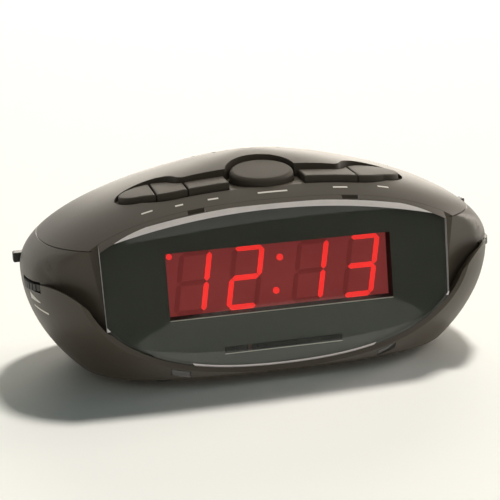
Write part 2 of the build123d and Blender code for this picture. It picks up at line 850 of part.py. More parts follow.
def strip_button(low, high, side):
    """One button of a row, between two cuts across the row."""
    gap = BUTTON_SPLIT / 2
    inner = low + (gap if low > STRIP_INNER else -FIT)
    outer = high - (gap if high < STRIP_END else -FIT)
    band = span(inner, outer, -BLOCK / 2, 0)
    flange_band = span(max(inner, low + gap), min(outer, high - gap), -BLOCK / 2, 0)
    stem = ((max(low, STRIP_INNER) + min(high, STRIP_END - STEM_RADIUS)) / 2, STEM_Y)
    cap = strip_outline() & band
    flange = strip_outline(FLANGE_LIP) & flange_band
    solid = button(cap, flange, pan_roll(BUTTON_RISE), BUTTON_ROUND, stem)
    return mirror(solid, about=Plane.YZ) if side < 0 else solid


def buttons():
    """The six buttons by name."""
    return {
        "time_button": strip_button(STRIP_INNER, TIME_SPLIT, -1),
        "minute_button": strip_button(TIME_SPLIT, HOUR_SPLIT, -1),
        "hour_button": strip_button(HOUR_SPLIT, STRIP_END, -1),
        "alarm_button": strip_button(STRIP_INNER, ALARM_SPLIT, 1),
        "sleep_button": strip_button(ALARM_SPLIT, STRIP_END, 1),
        "snooze_button": button(
            snooze_outline(), snooze_outline(FLANGE_LIP), pan_roll(SNOOZE_RISE, snooze_slope), SNOOZE_ROUND,
            (0, SNOOZE_Y),
        ),
    }


def stem_places():
    """Places of the six button stems."""
    last = STRIP_END - STEM_RADIUS
    left = ((STRIP_INNER, TIME_SPLIT), (TIME_SPLIT, HOUR_SPLIT), (HOUR_SPLIT, last))
    right = ((STRIP_INNER, ALARM_SPLIT), (ALARM_SPLIT, last))
    places = [(-(low + high) / 2, STEM_Y) for low, high in left]
    places += [((low + high) / 2, STEM_Y) for low, high in right]
    return places + [(0, SNOOZE_Y)]


def key_board():
    """Board under the buttons."""
    half = max(abs(x) for x, y in stem_places()) + KEY_SIZE / 2
    board = brick(-half, half, -KEY_BOARD_FRONT, -KEY_BOARD_REAR, KEY_BOARD_TOP - BOARD_THICK, KEY_BOARD_TOP)
    for x, y in key_post_places():
        board -= rod(SMALL_HOLE, x, y, KEY_BOARD_TOP - BOARD_THICK, KEY_BOARD_TOP)
    return board


def key_switches():
    """Six small press switches on the key board."""
    half = KEY_SIZE / 2
    keys = []
    for x, y in stem_places():
        case = brick(x - half, x + half, y - half, y + half, KEY_BOARD_TOP, key_top - FIT)
        keys.append(case + rod(STEM_RADIUS - FIT, x, y, KEY_BOARD_TOP, key_top))
    return group(keys)


# Speaker

def turned(points):
    """Ring turned about the speaker's axis from its half outline."""
    face = make_face(Polyline(*points, close=True))
    return Pos(0, SPEAKER_Y, 0) * revolve(Plane.XZ * face, Axis.Z)


def speaker_frame():
    """Pressed steel basket with a flat flange."""
    top = SPEAKER_TOP
    ledge = SPEAKER_TOP - SPEAKER_FLANGE
    frame = turned([
        (CONE_RADIUS + SHEET, ledge), (CONE_RADIUS + SHEET, top),
        (SPEAKER_RADIUS, top), (SPEAKER_RADIUS, ledge),
        (CONE_RADIUS + 2 * SHEET, ledge), (SPEAKER_NECK, speaker_low), (CONE_NECK / 2, speaker_low),
        (CONE_NECK / 2, speaker_low + SHEET), (SPEAKER_NECK - SHEET, speaker_low + SHEET),
    ])
    for x, y in speaker_post_places():
        frame -= rod(SMALL_HOLE, x, y, ledge, top)
    return frame


def speaker_magnet():
    """Ring magnet under the basket."""
    return rod(MAGNET_RADIUS, 0, SPEAKER_Y, speaker_low - MAGNET_HEIGHT, speaker_low)


def speaker_cone():
    """Paper cone with its dust cap."""
    rim = SPEAKER_TOP - SPEAKER_FLANGE
    neck = rim - CONE_DEPTH
    return turned([
        (CONE_RADIUS + SHEET, rim), (CONE_RADIUS + SHEET, rim + SHEET), (CONE_RADIUS, rim + SHEET),
        (CONE_NECK, neck + SHEET), (0, neck + CAP_HEIGHT), (0, neck + CAP_HEIGHT - SHEET),
        (CONE_NECK, neck), (CONE_RADIUS, rim),
    ])


# Main board and what stands on it

def main_board():
    """Board with its notch for the transformer."""
    half = EGG_HALF_WIDTH - BOARD_INSET
    plan = span(-half, half, -BOARD_FRONT, BOARD_REAR)
    reach = CORE_WIDTH / 2 + STRAP_FOOT
    plan -= span(CORE_X - reach, CORE_X + reach, BOARD_NOTCH_REAR, BLOCK)
    board = Pos(0, 0, board_low) * extrude(plan, BOARD_THICK) & egg(WALL + FIT)
    for x, y in board_places():
        board -= rod(SMALL_HOLE, x, y, board_low, BOARD_TOP)
    board -= rod(SHAFT_RADIUS + FIT, WHEEL_X, WHEEL_Y, board_low, BOARD_TOP)
    return board


def radio_chip():
    """Radio circuit."""
    return brick(
        RADIO_CHIP_X, RADIO_CHIP_X + RADIO_CHIP_LENGTH, RADIO_CHIP_Y, RADIO_CHIP_Y + RADIO_CHIP_WIDTH,
        BOARD_TOP, BOARD_TOP + RADIO_CHIP_HEIGHT,
    )


def filter_capacitors():
    """Upright smoothing capacitors."""
    cans = [rod(CAN_RADIUS, CAN_X + i * CAN_PITCH, CAN_Y, BOARD_TOP, BOARD_TOP + CAN_HEIGHT)
            for i in range(CAN_COUNT)]
    return group(cans)


def along_x(radius, length):
    """Level cylinder on the aerial rod's axis."""
    return Pos(0, ROD_Y, rod_z) * Rot(0, 90, 0) * Cylinder(radius, length)


def ferrite_rod():
    """Aerial rod."""
    return along_x(ROD_RADIUS, ROD_LENGTH)


def antenna_coil():
    """Winding on the aerial rod."""
    outside = along_x(ROD_RADIUS + AERIAL_COIL_WALL, AERIAL_COIL_LENGTH)
    return outside - along_x(ROD_RADIUS + RUN, AERIAL_COIL_LENGTH)


def rod_holders():
    """Two saddles that carry the aerial rod on the board."""
    half = ROD_RADIUS + ROD_SADDLE_WALL
    saddles = []
    for x in (-ROD_SADDLE_X, ROD_SADDLE_X):
        block = brick(x - ROD_SADDLE_THICK / 2, x + ROD_SADDLE_THICK / 2, ROD_Y - half, ROD_Y + half,
                      BOARD_TOP, rod_z + half)
        saddles.append(block - along_x(ROD_RADIUS + RUN, ROD_LENGTH))
    return group(saddles)


# Thumb wheels and dial drive

def ribbed_wheel(shaft_low):
    """Thumb wheel with a ribbed rim and its shaft."""
    wheel = rod(WHEEL_RADIUS, WHEEL_X, WHEEL_Y, wheel_low, WHEEL_TOP)
    notches = [
        rod(WHEEL_RIB_CUT, WHEEL_X + WHEEL_RADIUS * cos(2 * pi * i / WHEEL_RIBS),
            WHEEL_Y + WHEEL_RADIUS * sin(2 * pi * i / WHEEL_RIBS), wheel_low, WHEEL_TOP)
        for i in range(WHEEL_RIBS)
    ]
    return (wheel - notches) + rod(SHAFT_RADIUS, WHEEL_X, WHEEL_Y, shaft_low, wheel_low)


def under_wheel(size, low, high):
    """Square case on a wheel's axis, right-hand side, between two heights."""
    half = size / 2
    return brick(WHEEL_X - half, WHEEL_X + half, WHEEL_Y - half, WHEEL_Y + half, low, high)


def volume_wheel():
    """Volume wheel, whose short shaft sits in the volume control."""
    return mirror(ribbed_wheel(wheel_low - SHAFT_DEPTH), about=Plane.YZ)


def volume_control():
    """Volume control on the board."""
    case = under_wheel(POT_SIZE, BOARD_TOP, wheel_low - POT_GAP)
    case -= rod(SHAFT_RADIUS + RUN, WHEEL_X, WHEEL_Y, wheel_low - SHAFT_DEPTH - FIT, wheel_low)
    return mirror(case, about=Plane.YZ)


def tuning_wheel():
    """Tuning wheel on the long tuning spindle."""
    return ribbed_wheel(drum_low)


def tuning_capacitor():
    """Tuning capacitor under the board, round the spindle."""
    low = board_low - GANG_HEIGHT
    case = under_wheel(GANG_SIZE, low, board_low) & egg(WALL + FIT)
    return case - rod(SHAFT_RADIUS + RUN, WHEEL_X, WHEEL_Y, low, board_low)


def pulley(x, bore):
    """Grooved pulley for the dial cord."""
    half = DRUM_THICK / 2
    lip = DRUM_FLANGE - groove_radius
    profile = make_face(Polyline(
        (bore, -half), (DRUM_FLANGE, -half), (groove_radius, lip - half), (groove_radius, half - lip),
        (DRUM_FLANGE, half), (bore, half), close=True,
    ))
    return Pos(x, WHEEL_Y, CORD_DROP) * revolve(Plane.XZ * profile, Axis.Z)


def dial_drum():
    """Cord drum on the tuning spindle."""
    return pulley(WHEEL_X, SHAFT_RADIUS)


def idler_pulley():
    """Pulley that turns the cord round at the far end of the dial."""
    return pulley(IDLER_X, IDLER_PIN + RUN)


def idler_post():
    """Pin under the board that carries the far pulley."""
    low = drum_low - FIT
    pin = rod(IDLER_PIN, IDLER_X, WHEEL_Y, low - PIN_HEAD_THICK, board_low)
    collar = rod(PIN_HEAD, IDLER_X, WHEEL_Y, drum_top + FIT, board_low)
    return pin + collar + rod(PIN_HEAD, IDLER_X, WHEEL_Y, low - PIN_HEAD_THICK, low)


def dial_cord():
    """Endless cord round the drum and the far pulley."""
    path = cord_path()
    start = Plane(origin=path @ 0, z_dir=path % 0)
    return sweep(start * Circle(CORD_RADIUS), path)


def cord_path():
    """Line of the dial cord: two straight runs and two half turns."""
    far = WHEEL_Y + DRUM_RADIUS
    near_right = (WHEEL_X, cord_front, CORD_DROP)
    near_left = (IDLER_X, cord_front, CORD_DROP)
    far_right = (WHEEL_X, far, CORD_DROP)
    far_left = (IDLER_X, far, CORD_DROP)
    run_front = Line(near_left, near_right)
    turn_right = ThreePointArc(near_right, (WHEEL_X + DRUM_RADIUS, WHEEL_Y, CORD_DROP), far_right)
    run_back = Line(far_right, far_left)
    turn_left = ThreePointArc(far_left, (IDLER_X - DRUM_RADIUS, WHEEL_Y, CORD_DROP), near_left)
    return Wire([run_front, turn_right, run_back, turn_left])


def front_y(depth, height):
    """Y of a plane behind the lens front, at a height."""
    return -LENS_REACH + height * tan(lean) + depth / cos(lean)


def dial_pointer():
    """Pointer behind the dial slot, on an arm clipped to the cord."""
    near = front_y(fascia_back, POINTER_TOP) + POINTER_CLEAR
    half = POINTER_WIDTH / 2
    blade = brick(-half, half, near, near + POINTER_THICK, POINTER_LOW, POINTER_TOP)
    clip_half = CARRIAGE_WIDTH / 2
    clip_reach = CORD_RADIUS + CORD_CLEAR + CARRIAGE_WALL
    clip = brick(-clip_half, clip_half, cord_front - clip_reach, cord_front + clip_reach,
                 POINTER_TOP - POINTER_THICK, CORD_DROP + clip_reach)
    clip -= brick(-CARRIAGE_WIDTH, CARRIAGE_WIDTH, cord_front - CORD_RADIUS - CORD_CLEAR,
                  cord_front + CORD_RADIUS + CORD_CLEAR, CORD_DROP - CORD_RADIUS - CORD_CLEAR, BLOCK)
    arm = brick(-half, half, near, cord_front, POINTER_TOP - POINTER_THICK, POINTER_TOP)
    return Pos(POINTER_X, 0, 0) * (blade + arm + clip)


def dial_plate():
    """Scale plate behind the pointer, carried by the fascia."""
    near = front_y(fascia_back, POINTER_TOP) + POINTER_CLEAR + POINTER_THICK + DIAL_GAP
    plate = brick(-DIAL_HALF, DIAL_HALF, near, near + DIAL_THICK, DIAL_LOW, DIAL_TOP)
    for side in (1, -1):
        low = min(side * DIAL_HALF, side * (DIAL_HALF - CARRIAGE_WALL))
        leg = brick(low, low + CARRIAGE_WALL, -BLOCK / 2, near, DIAL_LOW, DIAL_TOP)
        plate += leg & behind(fascia_back)
    return plate


# Side slide knobs

def slide_knob(middle):
    """Knob of a side switch, right-hand side."""
    half = KNOB_LENGTH / 2
    tall = KNOB_HEIGHT / 2
    knob = brick(SWITCH_OUT + SEAT, KNOB_REACH, KNOB_Y - half, KNOB_Y + half, middle - tall, middle + tall)
    return fillet(knob.faces().sort_by(Axis.X)[-1].edges(), KNOB_ROUND)


def slide_switch(middle):
    """Slide switch that stands on the board, right-hand side."""
    half = SWITCH_LENGTH / 2
    return brick(SWITCH_IN, SWITCH_OUT, KNOB_Y - half, KNOB_Y + half, BOARD_TOP, middle + SWITCH_RISE)


# Transformer

def transformer_core():
    """Stack of iron plates with two windows."""
    half = CORE_WIDTH / 2
    low = floor_top
    rear = CORE_REAR
    core = brick(CORE_X - half, CORE_X + half, rear - CORE_THICK, rear, low, low + CORE_HEIGHT)
    for side in (1, -1):
        inner = side * LEG
        outer = side * (half - LEG)
        core -= brick(CORE_X + min(inner, outer), CORE_X + max(inner, outer), rear - CORE_THICK, rear,
                      low + LEG, low + CORE_HEIGHT - LEG)
    return core


def transformer_coil():
    """Winding round the middle leg."""
    middle = CORE_REAR - CORE_THICK / 2
    half_x = CORE_WIDTH / 2 - LEG - SEAT
    half_y = CORE_THICK / 2 + COIL_WALL
    low = floor_top + LEG + SEAT
    high = floor_top + CORE_HEIGHT - LEG - SEAT
    coil = brick(CORE_X - half_x, CORE_X + half_x, middle - half_y, middle + half_y, low, high)
    return coil - brick(CORE_X - LEG - SEAT, CORE_X + LEG + SEAT, middle - CORE_THICK / 2 - SEAT,
                        middle + CORE_THICK / 2 + SEAT, low, high)


def transformer_bracket():
    """Strap over the core with two feet on the floor."""
    half = CORE_WIDTH / 2
    front = CORE_REAR - CORE_THICK
    top = floor_top + CORE_HEIGHT
    reach = half + STRAP
    strap = brick(CORE_X - reach, CORE_X + reach, front + SEAT, CORE_REAR - SEAT, floor_top, top + STRAP)
    strap -= brick(CORE_X - half, CORE_X + half, front, CORE_REAR, floor_top, top)
    for side in (1, -1):
        edge = CORE_X + side * reach
        toe = edge + side * STRAP_FOOT
        foot = span(min(edge, toe), max(edge, toe), front + SEAT, CORE_REAR - COIL_WALL)
        strap += Pos(0, 0, floor_top) * extrude(foot, STRAP)
    return strap


# Battery

def backup_battery():
    """Block battery with two studs on one end."""
    low = -BASE_DROP + DOOR_THICK + BATTERY_LIFT
    plan = span(BATTERY_X, BATTERY_X + BATTERY_LENGTH, BATTERY_Y, BATTERY_Y + BATTERY_WIDTH)
    case = Pos(0, 0, low) * extrude(plan, BATTERY_HEIGHT)
    case = fillet(case.edges().filter_by(Axis.X), BATTERY_ROUND)
    for x, y, z in stud_places():
        case += Pos(x, y, z) * Rot(0, 90, 0) * Cylinder(STUD_RADIUS, STUD_HEIGHT, align=LOW)
    return case


def stud_places():
    """Where the two battery studs start."""
    middle = BATTERY_Y + BATTERY_WIDTH / 2
    height = -BASE_DROP + DOOR_THICK + BATTERY_LIFT + BATTERY_HEIGHT / 2
    return [(BATTERY_X + BATTERY_LENGTH, middle + side * STUD_PITCH / 2, height) for side in (1, -1)]


def battery_contacts():
    """Snap plate on the battery studs."""
    low = -BASE_DROP + DOOR_THICK + BATTERY_LIFT
    near = BATTERY_X + BATTERY_LENGTH
    outer = near + STUD_HEIGHT
    plan = span(outer - SNAP_WALL, outer + SNAP_THICK, BATTERY_Y, BATTERY_Y + BATTERY_WIDTH)
    plate = Pos(0, 0, low) * extrude(plan, BATTERY_HEIGHT)
    for x, y, z in stud_places():
        plate -= Pos(x, y, z) * Rot(0, 90, 0) * Cylinder(STUD_RADIUS + SEAT, STUD_HEIGHT + SEAT, align=LOW)
    return plate


def battery_door():
    """Door under the battery, rounded along its hinge edge."""
    plate = Pos(0, 0, -BASE_DROP) * extrude(door_span(), DOOR_THICK)
    hinge = plate.edges().filter_by(Axis.X).group_by(Axis.Y)[0]
    return fillet(hinge, DOOR_THICK / 2 - RUN)


# Feet, screws and cord inlet

def rubber_feet():
    """Four round feet."""
    feet = []
    for x, y in foot_places():
        foot = rod(FOOT_RADIUS, x, y, -BASE_DROP - FOOT_HEIGHT, -BASE_DROP)
        feet.append(fillet(foot.edges().group_by(Axis.Z)[0], FOOT_ROUND))
    return group(feet)


def screw(x, y, seat, length, shank, head, head_thick):
    """Screw driven upwards, with its head under the seat."""
    return rod(shank, x, y, seat - head_thick / 2, seat + length) + rod(head, x, y, seat - head_thick, seat)


def housing_screws():
    """Four long screws from the base into the cover posts."""
    sizes = (SCREW_SEAT, SCREW_LENGTH, SCREW_SHANK, SCREW_HEAD, SCREW_HEAD_THICK)
    return group([screw(x, y, *sizes) for x, y in corner_places()])


def board_screws():
    """Small screws of the main board, the key board and the speaker."""
    sizes = (SMALL_LENGTH - FIT, SMALL_SHANK, SMALL_HEAD, SMALL_HEAD_THICK)
    key_seat = KEY_BOARD_TOP - BOARD_THICK
    speaker_seat = SPEAKER_TOP - SPEAKER_FLANGE
    screws = [screw(x, y, key_seat, *sizes) for x, y in key_post_places()]
    screws += [screw(x, y, speaker_seat, *sizes) for x, y in speaker_post_places()]
    for x, y in board_places():
        screws.append(rod(SMALL_SHANK, x, y, BOARD_TOP - SMALL_LENGTH, BOARD_TOP)
                      + rod(SMALL_HEAD, x, y, BOARD_TOP, BOARD_TOP + SMALL_HEAD_THICK))
    return group(screws)


def cord_bushing():
    """Flanged bush in the rear wall, where a mains lead enters."""
    sleeve = inlet_cut(INLET_SLEEVE - RUN, INLET_FACE - INLET_PAD_THICK, INLET_FACE)
    flange = inlet_cut(INLET_FLANGE - WALL / 2, INLET_FACE, INLET_FACE + INLET_FLANGE_THICK)
    return sleeve + flange - inlet_cut(INLET_RADIUS, INLET_FACE - INLET_PAD, INLET_FACE + INLET_PAD)


def pieces():
    """Every piece by node name."""
    lit, dark = segments()
    found = {
        "bottom_shell": bottom_shell(),
        "middle_shell": middle_shell(),
        "top_cover": top_cover(),
        "lens": lens(),
        "fascia": fascia(),
        "display_face": display_face(),
        "lit_segments": lit,
        "dark_segments": dark,
        "display_block": display_block(),
        "display_board": display_board(),
        "clock_chip": clock_chip(),
        "key_board": key_board(),
        "key_switches": key_switches(),
        "speaker_frame": speaker_frame(),
        "speaker_cone": speaker_cone(),
        "speaker_magnet": speaker_magnet(),
        "main_board": main_board(),
        "radio_chip": radio_chip(),
        "filter_capacitors": filter_capacitors(),
        "ferrite_rod": ferrite_rod(),
        "antenna_coil": antenna_coil(),
        "rod_holders": rod_holders(),
        "volume_wheel": volume_wheel(),
        "volume_control": volume_control(),
        "tuning_wheel": tuning_wheel(),
        "tuning_capacitor": tuning_capacitor(),
        "dial_drum": dial_drum(),
        "idler_pulley": idler_pulley(),
        "idler_post": idler_post(),
        "dial_cord": dial_cord(),
        "dial_pointer": dial_pointer(),
        "dial_plate": dial_plate(),
        "function_knob": mirror(slide_knob(FUNCTION_MIDDLE), about=Plane.YZ),
        "function_switch": mirror(slide_switch(FUNCTION_MIDDLE), about=Plane.YZ),
        "band_knob": slide_knob(BAND_MIDDLE),
        "band_switch": slide_switch(BAND_MIDDLE),
        "transformer_core": transformer_core(),
        "transformer_coil": transformer_coil(),
        "transformer_bracket": transformer_bracket(),
        "backup_battery": backup_battery(),
        "battery_contacts": battery_contacts(),
        "battery_door": battery_door(),
        "rubber_feet": rubber_feet(),
        "housing_screws": housing_screws(),
        "board_screws": board_screws(),
        "cord_bushing": cord_bushing(),
    }
    found.update(buttons())
    return found


os.makedirs("parts", exist_ok=True)
for node, piece in pieces().items():
    export_step(Pos(0, EGG_SETBACK, BASE_DROP + FOOT_HEIGHT) * piece, f"parts/{node}.step")
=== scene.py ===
"""Looks of an egg-shaped LED alarm clock radio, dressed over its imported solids.

The solids come from the frame and stay where they are. Visible solids get a merged copy with smooth
shading, one of them with softened cheek edges. Every solid gets a procedural finish, and the lens print,
printed marks, dial ticks and windings are added.
"""

from __future__ import annotations

import json
import logging
import math
from dataclasses import dataclass, field
from enum import Enum

import bmesh
import bpy
from mathutils import Matrix, Vector
from mathutils.bvhtree import BVHTree
from mathutils.kdtree import KDTree

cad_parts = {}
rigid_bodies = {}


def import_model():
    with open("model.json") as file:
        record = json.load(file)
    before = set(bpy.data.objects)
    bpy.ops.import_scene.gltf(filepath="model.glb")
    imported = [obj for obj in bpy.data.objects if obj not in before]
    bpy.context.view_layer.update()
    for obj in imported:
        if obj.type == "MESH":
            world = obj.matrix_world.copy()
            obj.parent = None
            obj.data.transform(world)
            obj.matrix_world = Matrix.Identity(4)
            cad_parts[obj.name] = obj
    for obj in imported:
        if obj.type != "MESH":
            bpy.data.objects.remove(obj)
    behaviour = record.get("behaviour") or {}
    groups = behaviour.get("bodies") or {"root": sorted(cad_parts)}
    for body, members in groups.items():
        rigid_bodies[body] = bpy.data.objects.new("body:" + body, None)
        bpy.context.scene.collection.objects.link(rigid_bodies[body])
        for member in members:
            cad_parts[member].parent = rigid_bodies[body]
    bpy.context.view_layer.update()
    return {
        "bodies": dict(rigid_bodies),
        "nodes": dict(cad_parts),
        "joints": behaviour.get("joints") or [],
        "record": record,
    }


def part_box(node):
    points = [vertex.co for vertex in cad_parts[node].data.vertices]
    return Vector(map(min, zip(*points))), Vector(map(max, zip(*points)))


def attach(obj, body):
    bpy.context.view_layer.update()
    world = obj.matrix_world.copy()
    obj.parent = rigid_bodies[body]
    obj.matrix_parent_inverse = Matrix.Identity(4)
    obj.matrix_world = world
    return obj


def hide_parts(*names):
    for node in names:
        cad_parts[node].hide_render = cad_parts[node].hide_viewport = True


LOG = logging.getLogger("clock_radio")
MM = 0.001
EGG_CENTRE = Vector((0.0, -4.5 * MM, 43.6 * MM))
Colour = tuple[float, float, float]
DOWN = Vector((0.0, 0.0, -1.0))
UPWARD = Vector((0.0, 0.0, 1.0))
RIGHTWARD = Vector((1.0, 0.0, 0.0))
CUT_SLACK = 1e-7
GRAIN_DETAIL = 3.0
DRIFT_DETAIL = 5.0
DRIFT_MIDDLE = 0.5
Opening = tuple[float, float, float, float]
Ridge = list[tuple[Vector, Vector]]


class Sheen(Enum):
    """How a surface takes light."""

    SATIN = "satin"
    MATT = "matt"
    GLOSS = "gloss"
    METAL = "metal"
    CLEAR = "clear"
    FROSTED = "frosted"
    GLOW = "glow"


class LensCoat(Enum):
    """Finishes on the front plate, in the order of its material slots."""

    CLEAR = "lens_clear"
    FROSTED = "lens_edge"
    PAINTED = "housing_black"


def new_object(name: str, data: bpy.types.ID) -> bpy.types.Object:
    """Links a mesh, a lamp or a camera into the scene.

    Args:
        name: Name of the object.
        data: The mesh, lamp or camera.

    Returns:
        The new object, at the origin.
    """
    piece = bpy.data.objects.new(name, data)
    bpy.context.scene.collection.objects.link(piece)
    return piece


def new_piece(name: str, points: list, faces: list, material: bpy.types.Material) -> bpy.types.Object:
    """Makes a piece from points and faces.

    Args:
        name: Name of the piece.
        points: Its points.
        faces: The numbers of each face's points.
        material: Its material.

    Returns:
        The new object, at the origin.
    """
    mesh = bpy.data.meshes.new(name)
    mesh.from_pydata(points, [], faces)
    mesh.materials.append(material)
    return new_object(name, mesh)


def moulded_skin() -> bpy.types.NodeTree:
    """Builds the group that all finishes share: fine grain, and a slow drift of colour and gloss.

    Returns:
        The group, with Color, Roughness and Height outputs.
    """
    tree = bpy.data.node_groups.new("moulded_skin", "ShaderNodeTree")
    sockets = tree.interface
    for name, kind, value in (
        ("Low Colour", "NodeSocketColor", (0.02, 0.02, 0.02, 1.0)),
        ("High Colour", "NodeSocketColor", (0.04, 0.04, 0.04, 1.0)),
        ("Roughness", "NodeSocketFloat", 0.4),
        ("Roughness Spread", "NodeSocketFloat", 0.1),
        ("Grain Scale", "NodeSocketFloat", 2500.0),
        ("Drift Scale", "NodeSocketFloat", 30.0),
    ):
        socket = sockets.new_socket(name=name, in_out="INPUT", socket_type=kind)
        socket.default_value = value
    for name, kind in (("Color", "Color"), ("Roughness", "Float"), ("Height", "Float")):
        sockets.new_socket(name=name, in_out="OUTPUT", socket_type=f"NodeSocket{kind}")
    nodes, links = tree.nodes, tree.links
    start = nodes.new("NodeGroupInput")
    end = nodes.new("NodeGroupOutput")
    place = nodes.new("ShaderNodeTexCoord")
    grain = nodes.new("ShaderNodeTexNoise")
    grain.inputs["Detail"].default_value = GRAIN_DETAIL
    drift = nodes.new("ShaderNodeTexNoise")
    drift.inputs["Detail"].default_value = DRIFT_DETAIL
    for noise, scale in ((grain, "Grain Scale"), (drift, "Drift Scale")):
        links.new(place.outputs["Object"], noise.inputs["Vector"])
        links.new(start.outputs[scale], noise.inputs["Scale"])
    blend = nodes.new("ShaderNodeMix")
    blend.data_type = "RGBA"
    links.new(drift.outputs["Fac"], blend.inputs["Factor"])
    links.new(start.outputs["Low Colour"], blend.inputs["A"])
    links.new(start.outputs["High Colour"], blend.inputs["B"])
    centred = nodes.new("ShaderNodeMath")
    centred.operation = "SUBTRACT"
    links.new(drift.outputs["Fac"], centred.inputs[0])
    centred.inputs[1].default_value = DRIFT_MIDDLE
    spread = nodes.new("ShaderNodeMath")
    spread.operation = "MULTIPLY_ADD"
    links.new(centred.outputs[0], spread.inputs[0])
    links.new(start.outputs["Roughness Spread"], spread.inputs[1])
    links.new(start.outputs["Roughness"], spread.inputs[2])
    links.new(blend.outputs["Result"], end.inputs["Color"])
    links.new(spread.outputs[0], end.inputs["Roughness"])
    links.new(grain.outputs["Fac"], end.inputs["Height"])
    return tree


@dataclass(frozen=True)
class Finish:
    """One surface finish, built as a node material."""

    name: str
    low: Colour
    high: Colour
    sheen: Sheen = Sheen.SATIN
    roughness: float = 0.4
    spread: float = 0.12
    grain_scale: float = 2600.0
    grain_depth: float = 0.00002
    drift_scale: float = 40.0
    specular: float = 0.5
    coat: float = 0.0
    glow: float = 0.0
    clear_index: float = 1.46
    frosted_pass: float = 0.15

    def build(self, group: bpy.types.NodeTree) -> bpy.types.Material:
        """Builds the material.

        Args:
            group: Shader group of moulded skin.

        Returns:
            The finished material.
        """
        material = bpy.data.materials.new(self.name)
        material.use_nodes = True
        nodes, links = material.node_tree.nodes, material.node_tree.links
        shader = nodes["Principled BSDF"]
        skin = nodes.new("ShaderNodeGroup")
        skin.node_tree = group
        for name, value in (
            ("Low Colour", (*self.low, 1.0)),
            ("High Colour", (*self.high, 1.0)),
            ("Roughness", self.roughness),
            ("Roughness Spread", self.spread),
            ("Grain Scale", self.grain_scale),
            ("Drift Scale", self.drift_scale),
        ):
            skin.inputs[name].default_value = value
        links.new(skin.outputs["Color"], shader.inputs["Base Color"])
        links.new(skin.outputs["Roughness"], shader.inputs["Roughness"])
        if self.grain_depth > 0.0:
            bump = nodes.new("ShaderNodeBump")
            bump.inputs["Distance"].default_value = self.grain_depth
            bump.inputs["Strength"].default_value = 1.0
            links.new(skin.outputs["Height"], bump.inputs["Height"])
            links.new(bump.outputs["Normal"], shader.inputs["Normal"])
        shader.inputs["Specular IOR Level"].default_value = self.specular
        shader.inputs["Coat Weight"].default_value = self.coat
        if self.sheen is Sheen.METAL:
            shader.inputs["Metallic"].default_value = 1.0
        if self.sheen is Sheen.CLEAR:
            shader.inputs["Transmission Weight"].default_value = 1.0
            shader.inputs["IOR"].default_value = self.clear_index
        if self.sheen is Sheen.FROSTED:
            shader.inputs["Transmission Weight"].default_value = self.frosted_pass
        if self.glow > 0.0:
            links.new(skin.outputs["Color"], shader.inputs["Emission Color"])
            shader.inputs["Emission Strength"].default_value = self.glow
        return material


